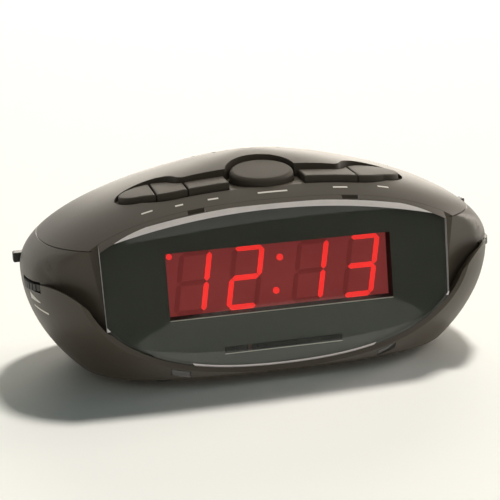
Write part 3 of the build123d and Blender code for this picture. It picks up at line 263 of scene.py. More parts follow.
class Palette:
    """All finishes, each built once on first use."""

    FINISHES: tuple[Finish, ...] = (
        Finish("housing_black", (0.046, 0.037, 0.026), (0.057, 0.047, 0.034), roughness=0.46, spread=0.08),
        Finish("button_black", (0.036, 0.029, 0.021), (0.046, 0.038, 0.028), roughness=0.60, spread=0.08,
               specular=0.3),
        Finish("wheel_black", (0.016, 0.016, 0.015), (0.026, 0.025, 0.023), roughness=0.45),
        Finish("lens_clear", (0.84, 0.88, 0.85), (0.90, 0.93, 0.90), Sheen.CLEAR, 0.02, 0.03, grain_depth=0.0,
               drift_scale=90.0),
        # Frosted lens edges: their pale colour is partly their own and partly, like their glow, a painted
        # highlight of light from the floor.
        Finish("lens_edge", (0.62, 0.58, 0.57), (0.78, 0.73, 0.71), Sheen.FROSTED, 0.32, 0.2,
               grain_scale=900.0, drift_scale=160.0, glow=0.10),
        Finish("lens_print", (0.092, 0.096, 0.086), (0.112, 0.116, 0.105), Sheen.MATT, 0.8, grain_depth=0.0,
               specular=0.05),
        Finish("fascia_black", (0.010, 0.011, 0.010), (0.016, 0.017, 0.016), roughness=0.6, spread=0.1,
               specular=0.15),
        # The display's red face: its own red, plus a glow that is painted light from the segments and the
        # room; it is no lamp.
        Finish("display_red", (0.170, 0.026, 0.026), (0.210, 0.034, 0.033), Sheen.GLOW, 0.5, specular=0.1,
               glow=0.9),
        Finish("segments_lit", (0.90, 0.030, 0.028), (1.0, 0.042, 0.038), Sheen.GLOW, 0.5, specular=0.1,
               glow=0.95),
        # Unlit segments: dark red, with a faint glow that is painted light, as they are no lamps.
        Finish("segments_dark", (0.140, 0.020, 0.019), (0.165, 0.026, 0.025), Sheen.GLOW, 0.5, specular=0.1,
               glow=0.85),
        Finish("reflector_white", (0.55, 0.55, 0.52), (0.66, 0.66, 0.63), roughness=0.5),
        Finish("board_brown", (0.26, 0.15, 0.05), (0.38, 0.24, 0.10), roughness=0.45, drift_scale=90.0),
        Finish("chip_black", (0.020, 0.020, 0.020), (0.036, 0.036, 0.035), roughness=0.55),
        Finish("can_blue", (0.03, 0.05, 0.16), (0.05, 0.08, 0.22), Sheen.GLOSS, 0.25, coat=0.3),
        Finish("drive_white", (0.62, 0.62, 0.57), (0.74, 0.74, 0.70), roughness=0.4),
        Finish("cord_pale", (0.50, 0.44, 0.30), (0.66, 0.60, 0.46), Sheen.MATT, 0.9, grain_scale=4000.0),
        Finish("pointer_red", (0.080, 0.012, 0.010), (0.110, 0.018, 0.014), Sheen.GLOSS, 0.3),
        Finish("dial_dark", (0.006, 0.006, 0.006), (0.010, 0.010, 0.010), roughness=0.7, specular=0.1),
        Finish("ferrite", (0.035, 0.034, 0.033), (0.060, 0.058, 0.055), Sheen.MATT, 0.7),
        Finish("copper", (0.42, 0.15, 0.05), (0.58, 0.25, 0.10), Sheen.METAL, 0.35),
        Finish("steel", (0.40, 0.40, 0.40), (0.58, 0.58, 0.57), Sheen.METAL, 0.38, drift_scale=120.0),
        Finish("cone_paper", (0.030, 0.030, 0.028), (0.060, 0.058, 0.055), Sheen.MATT, 0.9,
               grain_scale=1500.0),
        Finish("battery_wrap", (0.06, 0.06, 0.075), (0.10, 0.10, 0.12), Sheen.GLOSS, 0.3, coat=0.2),
        Finish("door_black", (0.046, 0.037, 0.026), (0.057, 0.047, 0.034), roughness=0.46, spread=0.08),
        Finish("rubber_black", (0.018, 0.018, 0.018), (0.034, 0.034, 0.033), Sheen.MATT, 0.85,
               grain_scale=1400.0),
        Finish("print_grey", (0.10, 0.10, 0.09), (0.14, 0.14, 0.13), Sheen.MATT, 0.7, grain_depth=0.0),
        Finish("print_pale", (0.66, 0.63, 0.58), (0.80, 0.77, 0.71), Sheen.MATT, 0.6, grain_depth=0.0),
        # Pale strips under the openings: a painted highlight where their lower lips catch the light.
        Finish("sill_painted_highlight", (0.86, 0.80, 0.72), (0.95, 0.90, 0.82), Sheen.MATT, 0.5, grain_depth=0.0),
    )

    def __init__(self) -> None:
        """Starts with no material built."""
        self._skin = moulded_skin()
        self._by_name = {finish.name: finish for finish in self.FINISHES}
        self._built: dict[str, bpy.types.Material] = {}

    def material(self, name: str) -> bpy.types.Material:
        """Gives a finish's material.

        Args:
            name: Name of the finish.

        Returns:
            Its material, built on first use.
        """
        if name not in self._built:
            self._built[name] = self._by_name[name].build(self._skin)
        return self._built[name]


@dataclass
class CheekEdge:
    """Soft round edge where each flat cheek of the middle shell runs out into the egg."""

    turn: float = math.radians(31.0)
    across: float = 69.6 * MM
    ahead: float = -45.3 * MM
    reach: float = 9.0 * MM
    step: float = 1.4 * MM
    sample: float = 0.2 * MM
    on_plane: float = 0.02 * MM
    same_way: float = 0.9995
    least_way: float = 0.5
    outward_share: float = 0.9
    fade: float = 9.0 * MM
    hold: float = 1.2 * MM

    def round_off(self, work: bmesh.types.BMesh) -> None:
        """Divides the shell near both edges and draws the edges in.

        Args:
            work: Merged mesh of the middle shell.
        """
        for side in (-1.0, 1.0):
            ridge = self._ridge(work, side)
            self._divide(work, ridge)
            self._draw_in(work, ridge)
        bmesh.ops.triangulate(work, faces=work.faces)

    def _ridge(self, work: bmesh.types.BMesh, side: float) -> Ridge:
        """Finds the edge between a cheek and the egg, above the equator.

        Args:
            work: Mesh of the shell.
            side: -1 for the left cheek, 1 for the right one.

        Returns:
            Close points along the edge, each with how much of its width and which way it is drawn in.
        """
        facing = Vector((side * math.sin(self.turn), -math.cos(self.turn), 0.0))
        origin = EGG_CENTRE + Vector((side * self.across, self.ahead, 0.0))
        lowest = EGG_CENTRE.z - self.on_plane
        points: Ridge = []
        for edge in work.edges:
            ends = [vert.co for vert in edge.verts]
            on_cheek = all(abs((end - origin).dot(facing)) <= self.on_plane for end in ends)
            if not on_cheek or len(edge.link_faces) != 2 or min(end.z for end in ends) < lowest:
                continue
            flat, egg = sorted(edge.link_faces, key=lambda face: -face.normal.dot(facing))
            turned = self.least_way < egg.normal.dot(facing) < self.same_way
            outward = egg.normal.x * side > facing.x * side * self.outward_share
            if flat.normal.dot(facing) < self.same_way or not turned or not outward:
                continue
            inward = -(facing + egg.normal).normalized()
            depth = math.tan(edge.calc_face_angle() / 2.0) / 2.0
            count = max(1, round(edge.calc_length() / self.sample))
            points += [(ends[0].lerp(ends[1], place / count), inward * depth) for place in range(count + 1)]
        return points

    def _divide(self, work: bmesh.types.BMesh, ridge: Ridge) -> None:
        """Cuts the faces near an edge on a close grid, so that they can bend.

        Args:
            work: Mesh of the shell.
            ridge: Points along the edge.
        """
        low = Vector(min(point[axis] for point, _ in ridge) - self.reach for axis in range(3))
        high = Vector(max(point[axis] for point, _ in ridge) + self.reach for axis in range(3))
        near = []
        for face in work.faces:
            places = [vert.co for vert in face.verts]
            least = [min(place[axis] for place in places) for axis in range(3)]
            most = [max(place[axis] for place in places) for axis in range(3)]
            if all(least[axis] < high[axis] and most[axis] > low[axis] for axis in range(3)):
                near.append(face)
        edges = dict.fromkeys(edge for face in near for edge in face.edges)
        verts = dict.fromkeys(vert for face in near for vert in face.verts)
        pieces = [*near, *edges, *verts]
        for across in (RIGHTWARD, UPWARD):
            for count in range(1, int((high - low).dot(across) / self.step)):
                place = low + across * count * self.step
                cut = bmesh.ops.bisect_plane(
                    work, geom=pieces, dist=CUT_SLACK, plane_co=place, plane_no=across,
                )
                pieces = cut["geom"]

    def _draw_in(self, work: bmesh.types.BMesh, ridge: Ridge) -> None:
        """Moves the shell in along an edge, most at the edge itself and not at all at the seam above it.

        Args:
            work: Mesh of the shell.
            ridge: Points along the edge, each with how much of its width and which way it is drawn in.
        """
        tree = KDTree(len(ridge))
        for index, (point, _) in enumerate(ridge):
            tree.insert(point, index)
        tree.balance()
        seam = max(vert.co.z for vert in work.verts)
        for vert in work.verts:
            point, index, gap = tree.find(vert.co)
            width = self.reach * min(1.0, (seam - point.z) / self.fade)
            if gap < width:
                share = (1.0 - gap / width) ** 2 * min(1.0, (seam - vert.co.z) / self.hold)
                vert.co += ridge[index][1] * width * share


@dataclass
class Solids:
    """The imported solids: their finishes, and smooth copies of the ones in view."""

    frame: dict
    palette: Palette
    smooth_angle: float = math.radians(24.0)
    merge: float = 0.002 * MM
    smooth_nodes: tuple[str, ...] = (
        "bottom_shell", "middle_shell", "top_cover", "lens", "fascia", "hour_button", "minute_button",
        "time_button", "snooze_button", "alarm_button", "sleep_button", "volume_wheel", "tuning_wheel",
        "function_knob", "band_knob", "rubber_feet", "battery_door", "cord_bushing", "speaker_cone",
        "speaker_frame", "dial_cord",
    )
    copies: dict[str, bpy.types.Object] = field(default_factory=dict)

    def body_of(self, node: str) -> str:
        """Gives the body that carries a node."""
        bodies = self.frame["record"]["behaviour"]["bodies"]
        return next(name for name, nodes in bodies.items() if node in nodes)

    def slot_of(self, node: str) -> str:
        """Gives the material slot of a node."""
        subparts = self.frame["record"]["subparts"]
        return next(part["material_slot"] for part in subparts if part["node"] == node)

    def smooth_copy(self, node: str) -> bpy.types.Object:
        """Makes a merged, smoothly shaded copy that stands for a node.

        Args:
            node: Name of the node.

        Returns:
            The copy, riding on the node's body.
        """
        mesh = self.frame["nodes"][node].data.copy()
        work = bmesh.new()
        work.from_mesh(mesh)
        bmesh.ops.remove_doubles(work, verts=work.verts, dist=self.merge)
        work.normal_update()
        if node == "middle_shell":
            CheekEdge().round_off(work)
            work.normal_update()
        for edge in work.edges:
            edge.smooth = len(edge.link_faces) == 2 and edge.calc_face_angle(0.0) < self.smooth_angle
        for face in work.faces:
            face.smooth = True
        work.to_mesh(mesh)
        work.free()
        piece = new_object(f"{node}_skin", mesh)
        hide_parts(node)
        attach(piece, self.body_of(node))
        return piece

    def dress(self) -> None:
        """Gives every node its finish and makes the smooth copies."""
        for node, solid in self.frame["nodes"].items():
            slot = self.slot_of(node)
            material = self.palette.material(slot)
            target = solid
            if node in self.smooth_nodes:
                target = self.smooth_copy(node)
                self.copies[node] = target
            target.data.materials.clear()
            target.data.materials.append(material)
        LOG.info("dressed %d nodes, %d of them smoothed", len(self.frame["nodes"]), len(self.copies))


@dataclass
class LensPlate:
    """Clear front plate with pale frosted edges, a dark print on its back round the display and dial slot,
    and pale strips under the openings. The edges' glow and the strips are painted highlights.
    """

    palette: Palette
    reach: float = 47.3 * MM
    lean: float = math.radians(5.4)
    thickness: float = 3.0 * MM
    print_gap: float = 0.03 * MM
    print_thick: float = 0.03 * MM
    flat_cosine: float = 0.97
    top_cosine: float = 0.55
    bevel_cosine: float = 0.2
    strip_depth: float = 1.0 * MM
    rim_below: float = -17.5 * MM
    rim_half: float = 37.0 * MM
    window: Opening = (-44.5 * MM, 46.3 * MM, -16.2 * MM, 10.3 * MM)
    slot: Opening = (-24.0 * MM, 24.0 * MM, -31.4 * MM, -28.4 * MM)
    sill_height: float = 0.3 * MM

    @property
    def inward(self) -> Vector:
        """Direction into the housing, square to the plate."""
        return Vector((0.0, math.cos(self.lean), -math.sin(self.lean)))

    @property
    def upward(self) -> Vector:
        """Direction up the plate."""
        return Vector((0.0, math.sin(self.lean), math.cos(self.lean)))

    def point(self, across: float, up: float, depth: float) -> Vector:
        """Gives a place on or behind the plate.

        Args:
            across: Distance to the right of the middle.
            up: Distance up the plate from the egg's middle.
            depth: Distance behind the front face.

        Returns:
            The place in the part's frame.
        """
        base = EGG_CENTRE + Vector((across, -self.reach, 0.0))
        return base + self.upward * up + self.inward * depth

    def build(self, plate: bpy.types.Object) -> None:
        """Dresses the plate's edges and adds the print and the sills, pale strips that are painted
        highlights.

        Args:
            plate: The lens's smooth copy.
        """
        self._part_bevel(plate)
        for coat in LensCoat:
            if coat is not LensCoat.CLEAR:
                plate.data.materials.append(self.palette.material(coat.value))
        order = list(LensCoat)
        for face in plate.data.polygons:
            face.material_index = order.index(self._coat(face))
        self._print(plate)
        for name, opening in (("window_sill", self.window), ("slot_sill", self.slot)):
            self._sill(name, opening)
        LOG.info("lens: edges, print and two sills")

    def _part_bevel(self, plate: bpy.types.Object) -> None:
        """Cuts the rim of the plate along its depth, so that the back of the bevel can be painted.

        Args:
            plate: Smooth copy of the plate.
        """
        work = bmesh.new()
        work.from_mesh(plate.data)
        parts = work.verts[:] + work.edges[:] + work.faces[:]
        cut = self.point(0.0, 0.0, self.strip_depth)
        bmesh.ops.bisect_plane(work, geom=parts, dist=CUT_SLACK, plane_co=cut, plane_no=self.inward)
        work.to_mesh(plate.data)
        work.free()

    def _coat(self, face: bpy.types.MeshPolygon) -> LensCoat:
        """Says how a face of the plate is finished.

        Args:
            face: One face of the plate.

        Returns:
            Its coat: painted on the flush top and the back of the bevel, frosted on the rim, clear elsewhere.
                The frosted rim's glow is a painted highlight.
        """
        offset = face.center - self.point(0.0, 0.0, 0.0)
        rise = face.normal.dot(self.upward)
        behind_strip = offset.dot(self.inward) > self.strip_depth
        if abs(face.normal.dot(self.inward)) > self.flat_cosine:
            return LensCoat.CLEAR
        if rise > self.top_cosine or (rise > self.bevel_cosine and behind_strip):
            return LensCoat.PAINTED
        if offset.dot(self.upward) < self.rim_below and abs(offset.x) > self.rim_half:
            return LensCoat.CLEAR
        return LensCoat.FROSTED

    def _inside(self, place: Vector, opening: Opening) -> bool:
        """Says whether a place lies in an opening of the print.

        Args:
            place: Point on the print.
            opening: Left, right, low and high edges of the opening.

        Returns:
            True inside the opening.
        """
        offset = place - self.point(0.0, 0.0, 0.0)
        up = offset.dot(self.upward)
        return opening[0] < offset.x < opening[1] and opening[2] < up < opening[3]

    def _print(self, plate: bpy.types.Object) -> None:
        """Makes the dark print from the plate's own back face.

        Args:
            plate: The lens's smooth copy.
        """
        mesh = bpy.data.meshes.new("lens_print")
        work = bmesh.new()
        work.from_mesh(plate.data)
        back = self.point(0.0, 0.0, self.thickness)
        other = [
            face for face in work.faces
            if face.normal.dot(self.inward) < self.flat_cosine
            or abs((face.calc_center_median() - back).dot(self.inward)) > self.print_gap
        ]
        bmesh.ops.delete(work, geom=other, context="FACES")
        for left, right, low, high in (self.window, self.slot):
            for place, across in (
                (self.point(left, 0.0, 0.0), RIGHTWARD), (self.point(right, 0.0, 0.0), RIGHTWARD),
                (self.point(0.0, low, 0.0), self.upward), (self.point(0.0, high, 0.0), self.upward),
            ):
                parts = work.verts[:] + work.edges[:] + work.faces[:]
                bmesh.ops.bisect_plane(work, geom=parts, plane_co=place, plane_no=across)
        holes = [
            face for face in work.faces
            if self._inside(face.calc_center_median(), self.window)
            or self._inside(face.calc_center_median(), self.slot)
        ]
        bmesh.ops.delete(work, geom=holes, context="FACES")
        bmesh.ops.translate(work, verts=work.verts, vec=self.inward * (self.print_gap + self.print_thick))
        bmesh.ops.solidify(work, geom=work.faces[:], thickness=self.print_thick)
        bmesh.ops.recalc_face_normals(work, faces=work.faces)
        for face in work.faces:
            face.material_index = 0
            face.smooth = False
        work.to_mesh(mesh)
        work.free()
        mesh.materials.append(self.palette.material("lens_print"))
        piece = new_object("lens_print", mesh)
        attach(piece, "housing")

    def _sill(self, name: str, opening: Opening) -> None:
        """Adds a pale strip along the lower edge of an opening: a painted highlight where its lower lip
        catches the light.

        Args:
            name: Name of the piece.
            opening: Left, right, low and high edges of the opening.
        """
        left, right, low, _ = opening
        near = self.thickness + self.print_gap
        far = near + self.print_thick
        points = [
            self.point(across, up, depth)
            for depth in (near, far) for up in (low, low + self.sill_height) for across in (left, right)
        ]
        faces = [(0, 1, 3, 2), (4, 6, 7, 5), (0, 4, 5, 1), (2, 3, 7, 6), (0, 2, 6, 4), (1, 5, 7, 3)]
        piece = new_piece(name, points, faces, self.palette.material("sill_painted_highlight"))
        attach(piece, "housing")


@dataclass
class PrintedMarks:
    """Pale printed dashes below the buttons, and a wedge with a dash below the volume wheel.

    Each dash has a name, the x and y of its middle from the egg's own middle, and its width, in millimetres.
    """

    palette: Palette
    lift: float = 0.03 * MM
    dash_height: float = 0.8 * MM
    columns: int = 16
    rows: int = 3
    far: float = 0.2
    dashes: tuple[tuple[str, float, float, float], ...] = (
        ("hour_mark", -49.4, -37.3, 4.4),
        ("minute_mark", -36.8, -38.2, 3.2),
        ("time_mark", -23.3, -38.2, 4.2),
        ("snooze_mark", 0.7, -38.0, 12.0),
        ("alarm_mark", 28.5, -37.5, 6.0),
        ("sleep_mark", 46.9, -35.9, 4.6),
    )
    wedge_ends: tuple[float, float] = (-20.5 * MM, -29.5 * MM)
    wedge_levels: tuple[float, float] = (-5.9 * MM, -7.6 * MM)
    wedge_heights: tuple[float, float] = (3.0 * MM, 0.4 * MM)
    side_dash_ends: tuple[float, float] = (-22.0 * MM, -33.0 * MM)
    side_dash_levels: tuple[float, float] = (-10.0 * MM, -11.6 * MM)

    def build(self, cover: bpy.types.Object, bowl: bpy.types.Object) -> None:
        """Lays every mark on the housing.

        Args:
            cover: The top cover's smooth copy.
            bowl: The bottom shell's smooth copy.
        """
        even = (self.dash_height, self.dash_height)
        cover_tree = self._tree(cover)
        for name, x, y, width in self.dashes:
            ends = (x * MM - width * MM / 2, x * MM + width * MM / 2)
            self._mark(cover_tree, name, ends, (y * MM, y * MM), even, DOWN)
        bowl_tree = self._tree(bowl)
        for name, ends, levels, heights in (
            ("volume_wedge", self.wedge_ends, self.wedge_levels, self.wedge_heights),
            ("volume_mark", self.side_dash_ends, self.side_dash_levels, even),
        ):
            self._mark(bowl_tree, name, ends, levels, heights, RIGHTWARD)
        LOG.info("printed marks: %d on the cover, 2 on the bowl", len(self.dashes))

    def _tree(self, skin: bpy.types.Object) -> BVHTree:
        """Gives a search tree of a skin's faces.

        Args:
            skin: Smooth copy of a shell.

        Returns:
            The tree.
        """
        work = bmesh.new()
        work.from_mesh(skin.data)
        tree = BVHTree.FromBMesh(work)
        work.free()
        return tree

    def _mark(self, tree: BVHTree, name: str, ends: tuple[float, float], levels: tuple[float, float],
              heights: tuple[float, float], aim: Vector) -> None:
        """Lays one tapering mark on a skin.

        Args:
            tree: Search tree of the skin.
            name: Name of the piece.
            ends: Start and end along the mark.
            levels: Middle of the mark at its start and end.
            heights: Height of the mark at its start and end.
            aim: Direction in which the mark is laid on.
        """
        points: list[Vector] = []
        for row in range(self.rows):
            for column in range(self.columns):
                share = column / (self.columns - 1)
                along = ends[0] + (ends[1] - ends[0]) * share
                height = heights[0] + (heights[1] - heights[0]) * share
                middle = levels[0] + (levels[1] - levels[0]) * share
                level = middle + (row / (self.rows - 1) - 0.5) * height
                flat = Vector((along, level, 0.0)) if aim is DOWN else Vector((0.0, along, level))
                place, normal, _, _ = tree.ray_cast(EGG_CENTRE + flat - aim * self.far, aim)
                points.append(place + normal * self.lift)
        faces = [
            (row * self.columns + column, row * self.columns + column + 1,
             (row + 1) * self.columns + column + 1, (row + 1) * self.columns + column)
            for row in range(self.rows - 1) for column in range(self.columns - 1)
        ]
        if aim is not DOWN:
            faces = [tuple(reversed(face)) for face in faces]
        piece = new_piece(name, points, faces, self.palette.material("print_pale"))
        for face in piece.data.polygons:
            face.use_smooth = True
        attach(piece, "housing")


class NodeModel:
    """A Geometry Nodes tree under construction, with named inputs and one mesh at its end."""

    def __init__(self, name: str) -> None:
        """Starts a tree with a geometry output.

        Args:
            name: Name of the tree and of the mesh that comes out of it.
        """
        self.name = name
        self.tree = bpy.data.node_groups.new(name, "GeometryNodeTree")
        self.tree.interface.new_socket(name="Geometry", in_out="OUTPUT", socket_type="NodeSocketGeometry")
        self.start = self.tree.nodes.new("NodeGroupInput")
        self.values: dict[str, object] = {}

    def entry(self, name: str, kind: str, value: object) -> bpy.types.NodeSocket:
        """Adds a named input.

        Args:
            name: Name of the input.
            kind: Socket type, such as NodeSocketFloat.
            value: Value that this model gives it.

        Returns:
            The input's socket inside the tree.
        """
        socket = self.tree.interface.new_socket(name=name, in_out="INPUT", socket_type=kind)
        self.values[socket.identifier] = value
        return self.start.outputs[name]

    def _feed(self, target: bpy.types.NodeSocket, source: object) -> None:
        """Links an input to a socket, or gives it a plain value.

        Args:
            target: The input.
            source: Socket or plain value.
        """
        if isinstance(source, bpy.types.NodeSocket):
            self.tree.links.new(source, target)
        else:
            target.default_value = source

    def node(self, kind: str, **sources: object) -> bpy.types.Node:
        """Adds a node and feeds its inputs.

        Args:
            kind: Node type.
            sources: Inputs by name, with an underscore for a space; each is a socket or a plain value.

        Returns:
            The new node.
        """
        node = self.tree.nodes.new(kind)
        for name, source in sources.items():
            self._feed(node.inputs[name.replace("_", " ")], source)
        return node

    def sum(self, first: object, second: object, factor: object) -> bpy.types.NodeSocket:
        """Gives first times factor plus second.

        Args:
            first: Socket or number.
            second: Socket or number.
            factor: Socket or number.

        Returns:
            The result's socket.
        """
        node = self.tree.nodes.new("ShaderNodeMath")
        node.operation = "MULTIPLY_ADD"
        for target, source in zip(node.inputs, (first, factor, second)):
            self._feed(target, source)
        return node.outputs[0]

    def realise(self, geometry: bpy.types.NodeSocket, material: bpy.types.Material) -> bpy.types.Object:
        """Ends the tree and turns its result into a plain mesh object.

        Args:
            geometry: Socket with the finished geometry.
            material: Material of the mesh.

        Returns:
            An object at the origin that holds the mesh and no modifier.
        """
        painted = self.entry("Material", "NodeSocketMaterial", material)
        whole = self.node("GeometryNodeRealizeInstances", Geometry=geometry)
        dressed = self.node("GeometryNodeSetMaterial", Geometry=whole.outputs[0], Material=painted)
        end = self.tree.nodes.new("NodeGroupOutput")
        self.tree.links.new(dressed.outputs[0], end.inputs[0])
        carrier = new_object(f"{self.name}_carrier", bpy.data.meshes.new(f"{self.name}_carrier"))
        modifier = carrier.modifiers.new(self.name, "NODES")
        modifier.node_group = self.tree
        for identifier, value in self.values.items():
            modifier[identifier] = value
        graph = bpy.context.evaluated_depsgraph_get()
        mesh = bpy.data.meshes.new_from_object(carrier.evaluated_get(graph))
        mesh.name = self.name
        carrier.modifiers.remove(modifier)
        bpy.data.objects.remove(carrier)
        return new_object(self.name, mesh)


@dataclass
class Windings:
    """Turns of enamelled wire in place of the plain sleeves."""

    palette: Palette
    aerial_wire: float = 0.27 * MM
    aerial_step: float = 0.56 * MM
    coil_wire: float = 0.42 * MM
    coil_layers: int = 4
    wire_sides: int = 6
    steps_per_turn: int = 40
    corner: float = 1.2 * MM
    corner_steps: int = 3
    radii_per_layer: float = 4.0

    def build(self) -> None:
        """Winds the aerial coil and the transformer coil."""
        self._aerial()
        self._transformer()
        LOG.info("windings: aerial and transformer")

    def _aerial(self) -> None:
        """Winds one spiral layer round the aerial rod."""
        low, high = (Vector(corner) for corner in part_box("antenna_coil"))
        middle = (low + high) / 2
        radius = (high.z - low.z) / 2 - self.aerial_wire
        length = high.x - low.x - 2 * self.aerial_wire
        model = NodeModel("aerial_winding")
        reach = model.entry("Coil Radius", "NodeSocketFloat", radius)
        run = model.entry("Length", "NodeSocketFloat", length)
        turns = model.entry("Turns", "NodeSocketFloat", length / self.aerial_step)
        wire = model.entry("Wire Radius", "NodeSocketFloat", self.aerial_wire)
        path = model.node("GeometryNodeCurveSpiral", Resolution=self.steps_per_turn, Rotations=turns,
                          Start_Radius=reach, End_Radius=reach, Height=run)
        section = model.node("GeometryNodeCurvePrimitiveCircle", Resolution=self.wire_sides, Radius=wire)
        tube = model.node("GeometryNodeCurveToMesh", Curve=path.outputs[0],
                          Profile_Curve=section.outputs["Curve"], Fill_Caps=True)
        turned = model.node(
            "GeometryNodeTransform", Geometry=tube.outputs[0], Rotation=(0.0, math.pi / 2, 0.0),
            Translation=(low.x + self.aerial_wire, middle.y, middle.z),
        )
        self._keep(model.realise(turned.outputs[0], self.palette.material("copper")), "antenna_coil")

    def _transformer(self) -> None:
        """Stacks square turns in layers round the middle leg."""
        low, high = (Vector(corner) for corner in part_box("transformer_coil"))
        middle = (low + high) / 2
        pitch = 2 * self.coil_wire
        turns = int((high.z - low.z) / pitch)
        model = NodeModel("transformer_winding")
        width = model.entry("Width", "NodeSocketFloat", high.x - low.x - pitch)
        depth = model.entry("Depth", "NodeSocketFloat", high.y - low.y - pitch)
        wire = model.entry("Wire Radius", "NodeSocketFloat", self.coil_wire)
        corner = model.entry("Corner", "NodeSocketFloat", self.corner)
        count = model.entry("Turns", "NodeSocketInt", turns)
        section = model.node("GeometryNodeCurvePrimitiveCircle", Resolution=self.wire_sides, Radius=wire)
        stack = model.node(
            "GeometryNodeMeshLine", Count=count, Start_Location=(middle.x, middle.y, low.z + self.coil_wire),
            Offset=(0.0, 0.0, pitch),
        )
        join = model.node("GeometryNodeJoinGeometry")
        for layer in range(self.coil_layers):
            inset = -self.radii_per_layer * layer
            frame = model.node("GeometryNodeCurvePrimitiveQuadrilateral",
                               Width=model.sum(wire, width, inset), Height=model.sum(wire, depth, inset))
            bend = model.tree.nodes.new("GeometryNodeFilletCurve")
            bend.mode = "POLY"
            model.tree.links.new(frame.outputs[0], bend.inputs["Curve"])
            model.tree.links.new(corner, bend.inputs["Radius"])
            bend.inputs["Count"].default_value = self.corner_steps
            loop = model.node("GeometryNodeCurveToMesh", Curve=bend.outputs[0],
                              Profile_Curve=section.outputs["Curve"])
            rings = model.node("GeometryNodeInstanceOnPoints", Points=stack.outputs[0],
                               Instance=loop.outputs[0])
            model.tree.links.new(rings.outputs[0], join.inputs[0])
        self._keep(model.realise(join.outputs[0], self.palette.material("copper")), "transformer_coil")

    def _keep(self, piece: bpy.types.Object, node: str) -> None:
        """Shades a winding smoothly and puts it in its sleeve's place.

        Args:
            piece: The winding.
            node: Name of the sleeve.
        """
        for face in piece.data.polygons:
            face.use_smooth = True
        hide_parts(node)
        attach(piece, "housing")


@dataclass
class DialScale:
    """Grey ticks on the dial plate, every fifth one taller."""

    palette: Palette
    count: int = 31
    step: float = 1.5 * MM
    tick_width: float = 0.25 * MM
    tick_heights: tuple[float, float] = (0.8 * MM, 1.4 * MM)
    every: int = 5
    tick_depth: float = 0.04 * MM
    base_height: float = -29.6 * MM
    plate_thick: float = 1.0 * MM

    def build(self) -> None:
        """Lays both rows of ticks on the plate's front."""
        front = self._front()
        left = -self.step * (self.count - 1) / 2
        base = EGG_CENTRE.z + self.base_height
        model = NodeModel("dial_ticks")
        join = model.node("GeometryNodeJoinGeometry")
        wide = model.entry("Tick Width", "NodeSocketFloat", self.tick_width)
        deep = model.entry("Tick Depth", "NodeSocketFloat", self.tick_depth)
        for height, skip in zip(self.tick_heights, (1, self.every)):
            tall = model.entry(f"Height Every {skip}", "NodeSocketFloat", height)
            number = model.entry(f"Count Every {skip}", "NodeSocketInt", (self.count - 1) // skip + 1)
            size = model.node("ShaderNodeCombineXYZ", X=wide, Y=deep, Z=tall)
            tick = model.node("GeometryNodeMeshCube", Size=size.outputs[0])
            row = model.node(
                "GeometryNodeMeshLine", Count=number, Offset=(self.step * skip, 0.0, 0.0),
                Start_Location=(left, front, base + height / 2),
            )
            ticks = model.node("GeometryNodeInstanceOnPoints", Points=row.outputs[0],
                               Instance=tick.outputs["Mesh"])
            model.tree.links.new(ticks.outputs[0], join.inputs[0])
        piece = model.realise(join.outputs[0], self.palette.material("print_grey"))
        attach(piece, "housing")
        LOG.info("dial scale: %d ticks", self.count)

    def _front(self) -> float:
        """Gives the plate's front, behind the legs that carry it."""
        _, high = (Vector(corner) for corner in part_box("dial_plate"))
        return high.y - self.plate_thick - self.tick_depth / 2


@dataclass(frozen=True)
class ViewPoint:
    """Camera fitted to the photograph's viewing angle."""

    place: Vector = field(default_factory=lambda: Vector((-116.8, -535.4, 121.6)) * MM + EGG_CENTRE)
    turn: float = math.radians(12.16)
    tilt: float = math.radians(12.69)
    roll: float = math.radians(-3.05)
    focal: float = 94.92
    sensor: float = 36.0
    nearest: float = 0.01

    def build(self) -> None:
        """Adds the camera and makes it the scene's own."""
        right = Vector((math.cos(self.turn), -math.sin(self.turn), 0.0))
        level = math.cos(self.tilt)
        back = Vector((-math.sin(self.turn) * level, -math.cos(self.turn) * level, math.sin(self.tilt)))
        up = back.cross(right)
        rolled_right = right * math.cos(self.roll) + up * math.sin(self.roll)
        rolled_up = up * math.cos(self.roll) - right * math.sin(self.roll)
        data = bpy.data.cameras.new("view")
        data.lens = self.focal
        data.sensor_width = self.sensor
        data.sensor_fit = "HORIZONTAL"
        data.clip_start = self.nearest
        camera = new_object("view", data)
        axes = Matrix((rolled_right, rolled_up, back)).transposed().to_4x4()
        camera.matrix_world = Matrix.Translation(self.place) @ axes
        bpy.context.scene.camera = camera


@dataclass(frozen=True)
class SoftSun:
    """One distant soft lamp, so that the floor is as bright far off as it is near.

    It is hidden from rays that have come through glass, which would only speckle what is behind the lens.
    One that isn't mirrored leaves no highlight.
    """

    name: str
    source: Vector
    strength: float
    spread: float
    colour: Colour = (1.0, 1.0, 1.0)
    spares_floor: bool = False
    mirrored: bool = True

    def build(self, floor: bpy.types.Collection) -> None:
        """Adds the lamp, shining from its source direction.

        Args:
            floor: The sheets of the floor. Some lamps neither light them, so that the shadow stays deep,
                nor are stopped by them.
        """
        data = bpy.data.lights.new(self.name, "SUN")
        data.energy = self.strength
        data.angle = self.spread
        data.color = self.colour
        lamp = new_object(self.name, data)
        lamp.visible_transmission = False
        lamp.visible_glossy = self.mirrored
        if self.spares_floor:
            lamp.light_linking.receiver_collection = floor
            lamp.light_linking.blocker_collection = floor
        lamp.location = self.source
        lamp.rotation_euler = (-self.source).to_track_quat("-Z", "Y").to_euler()


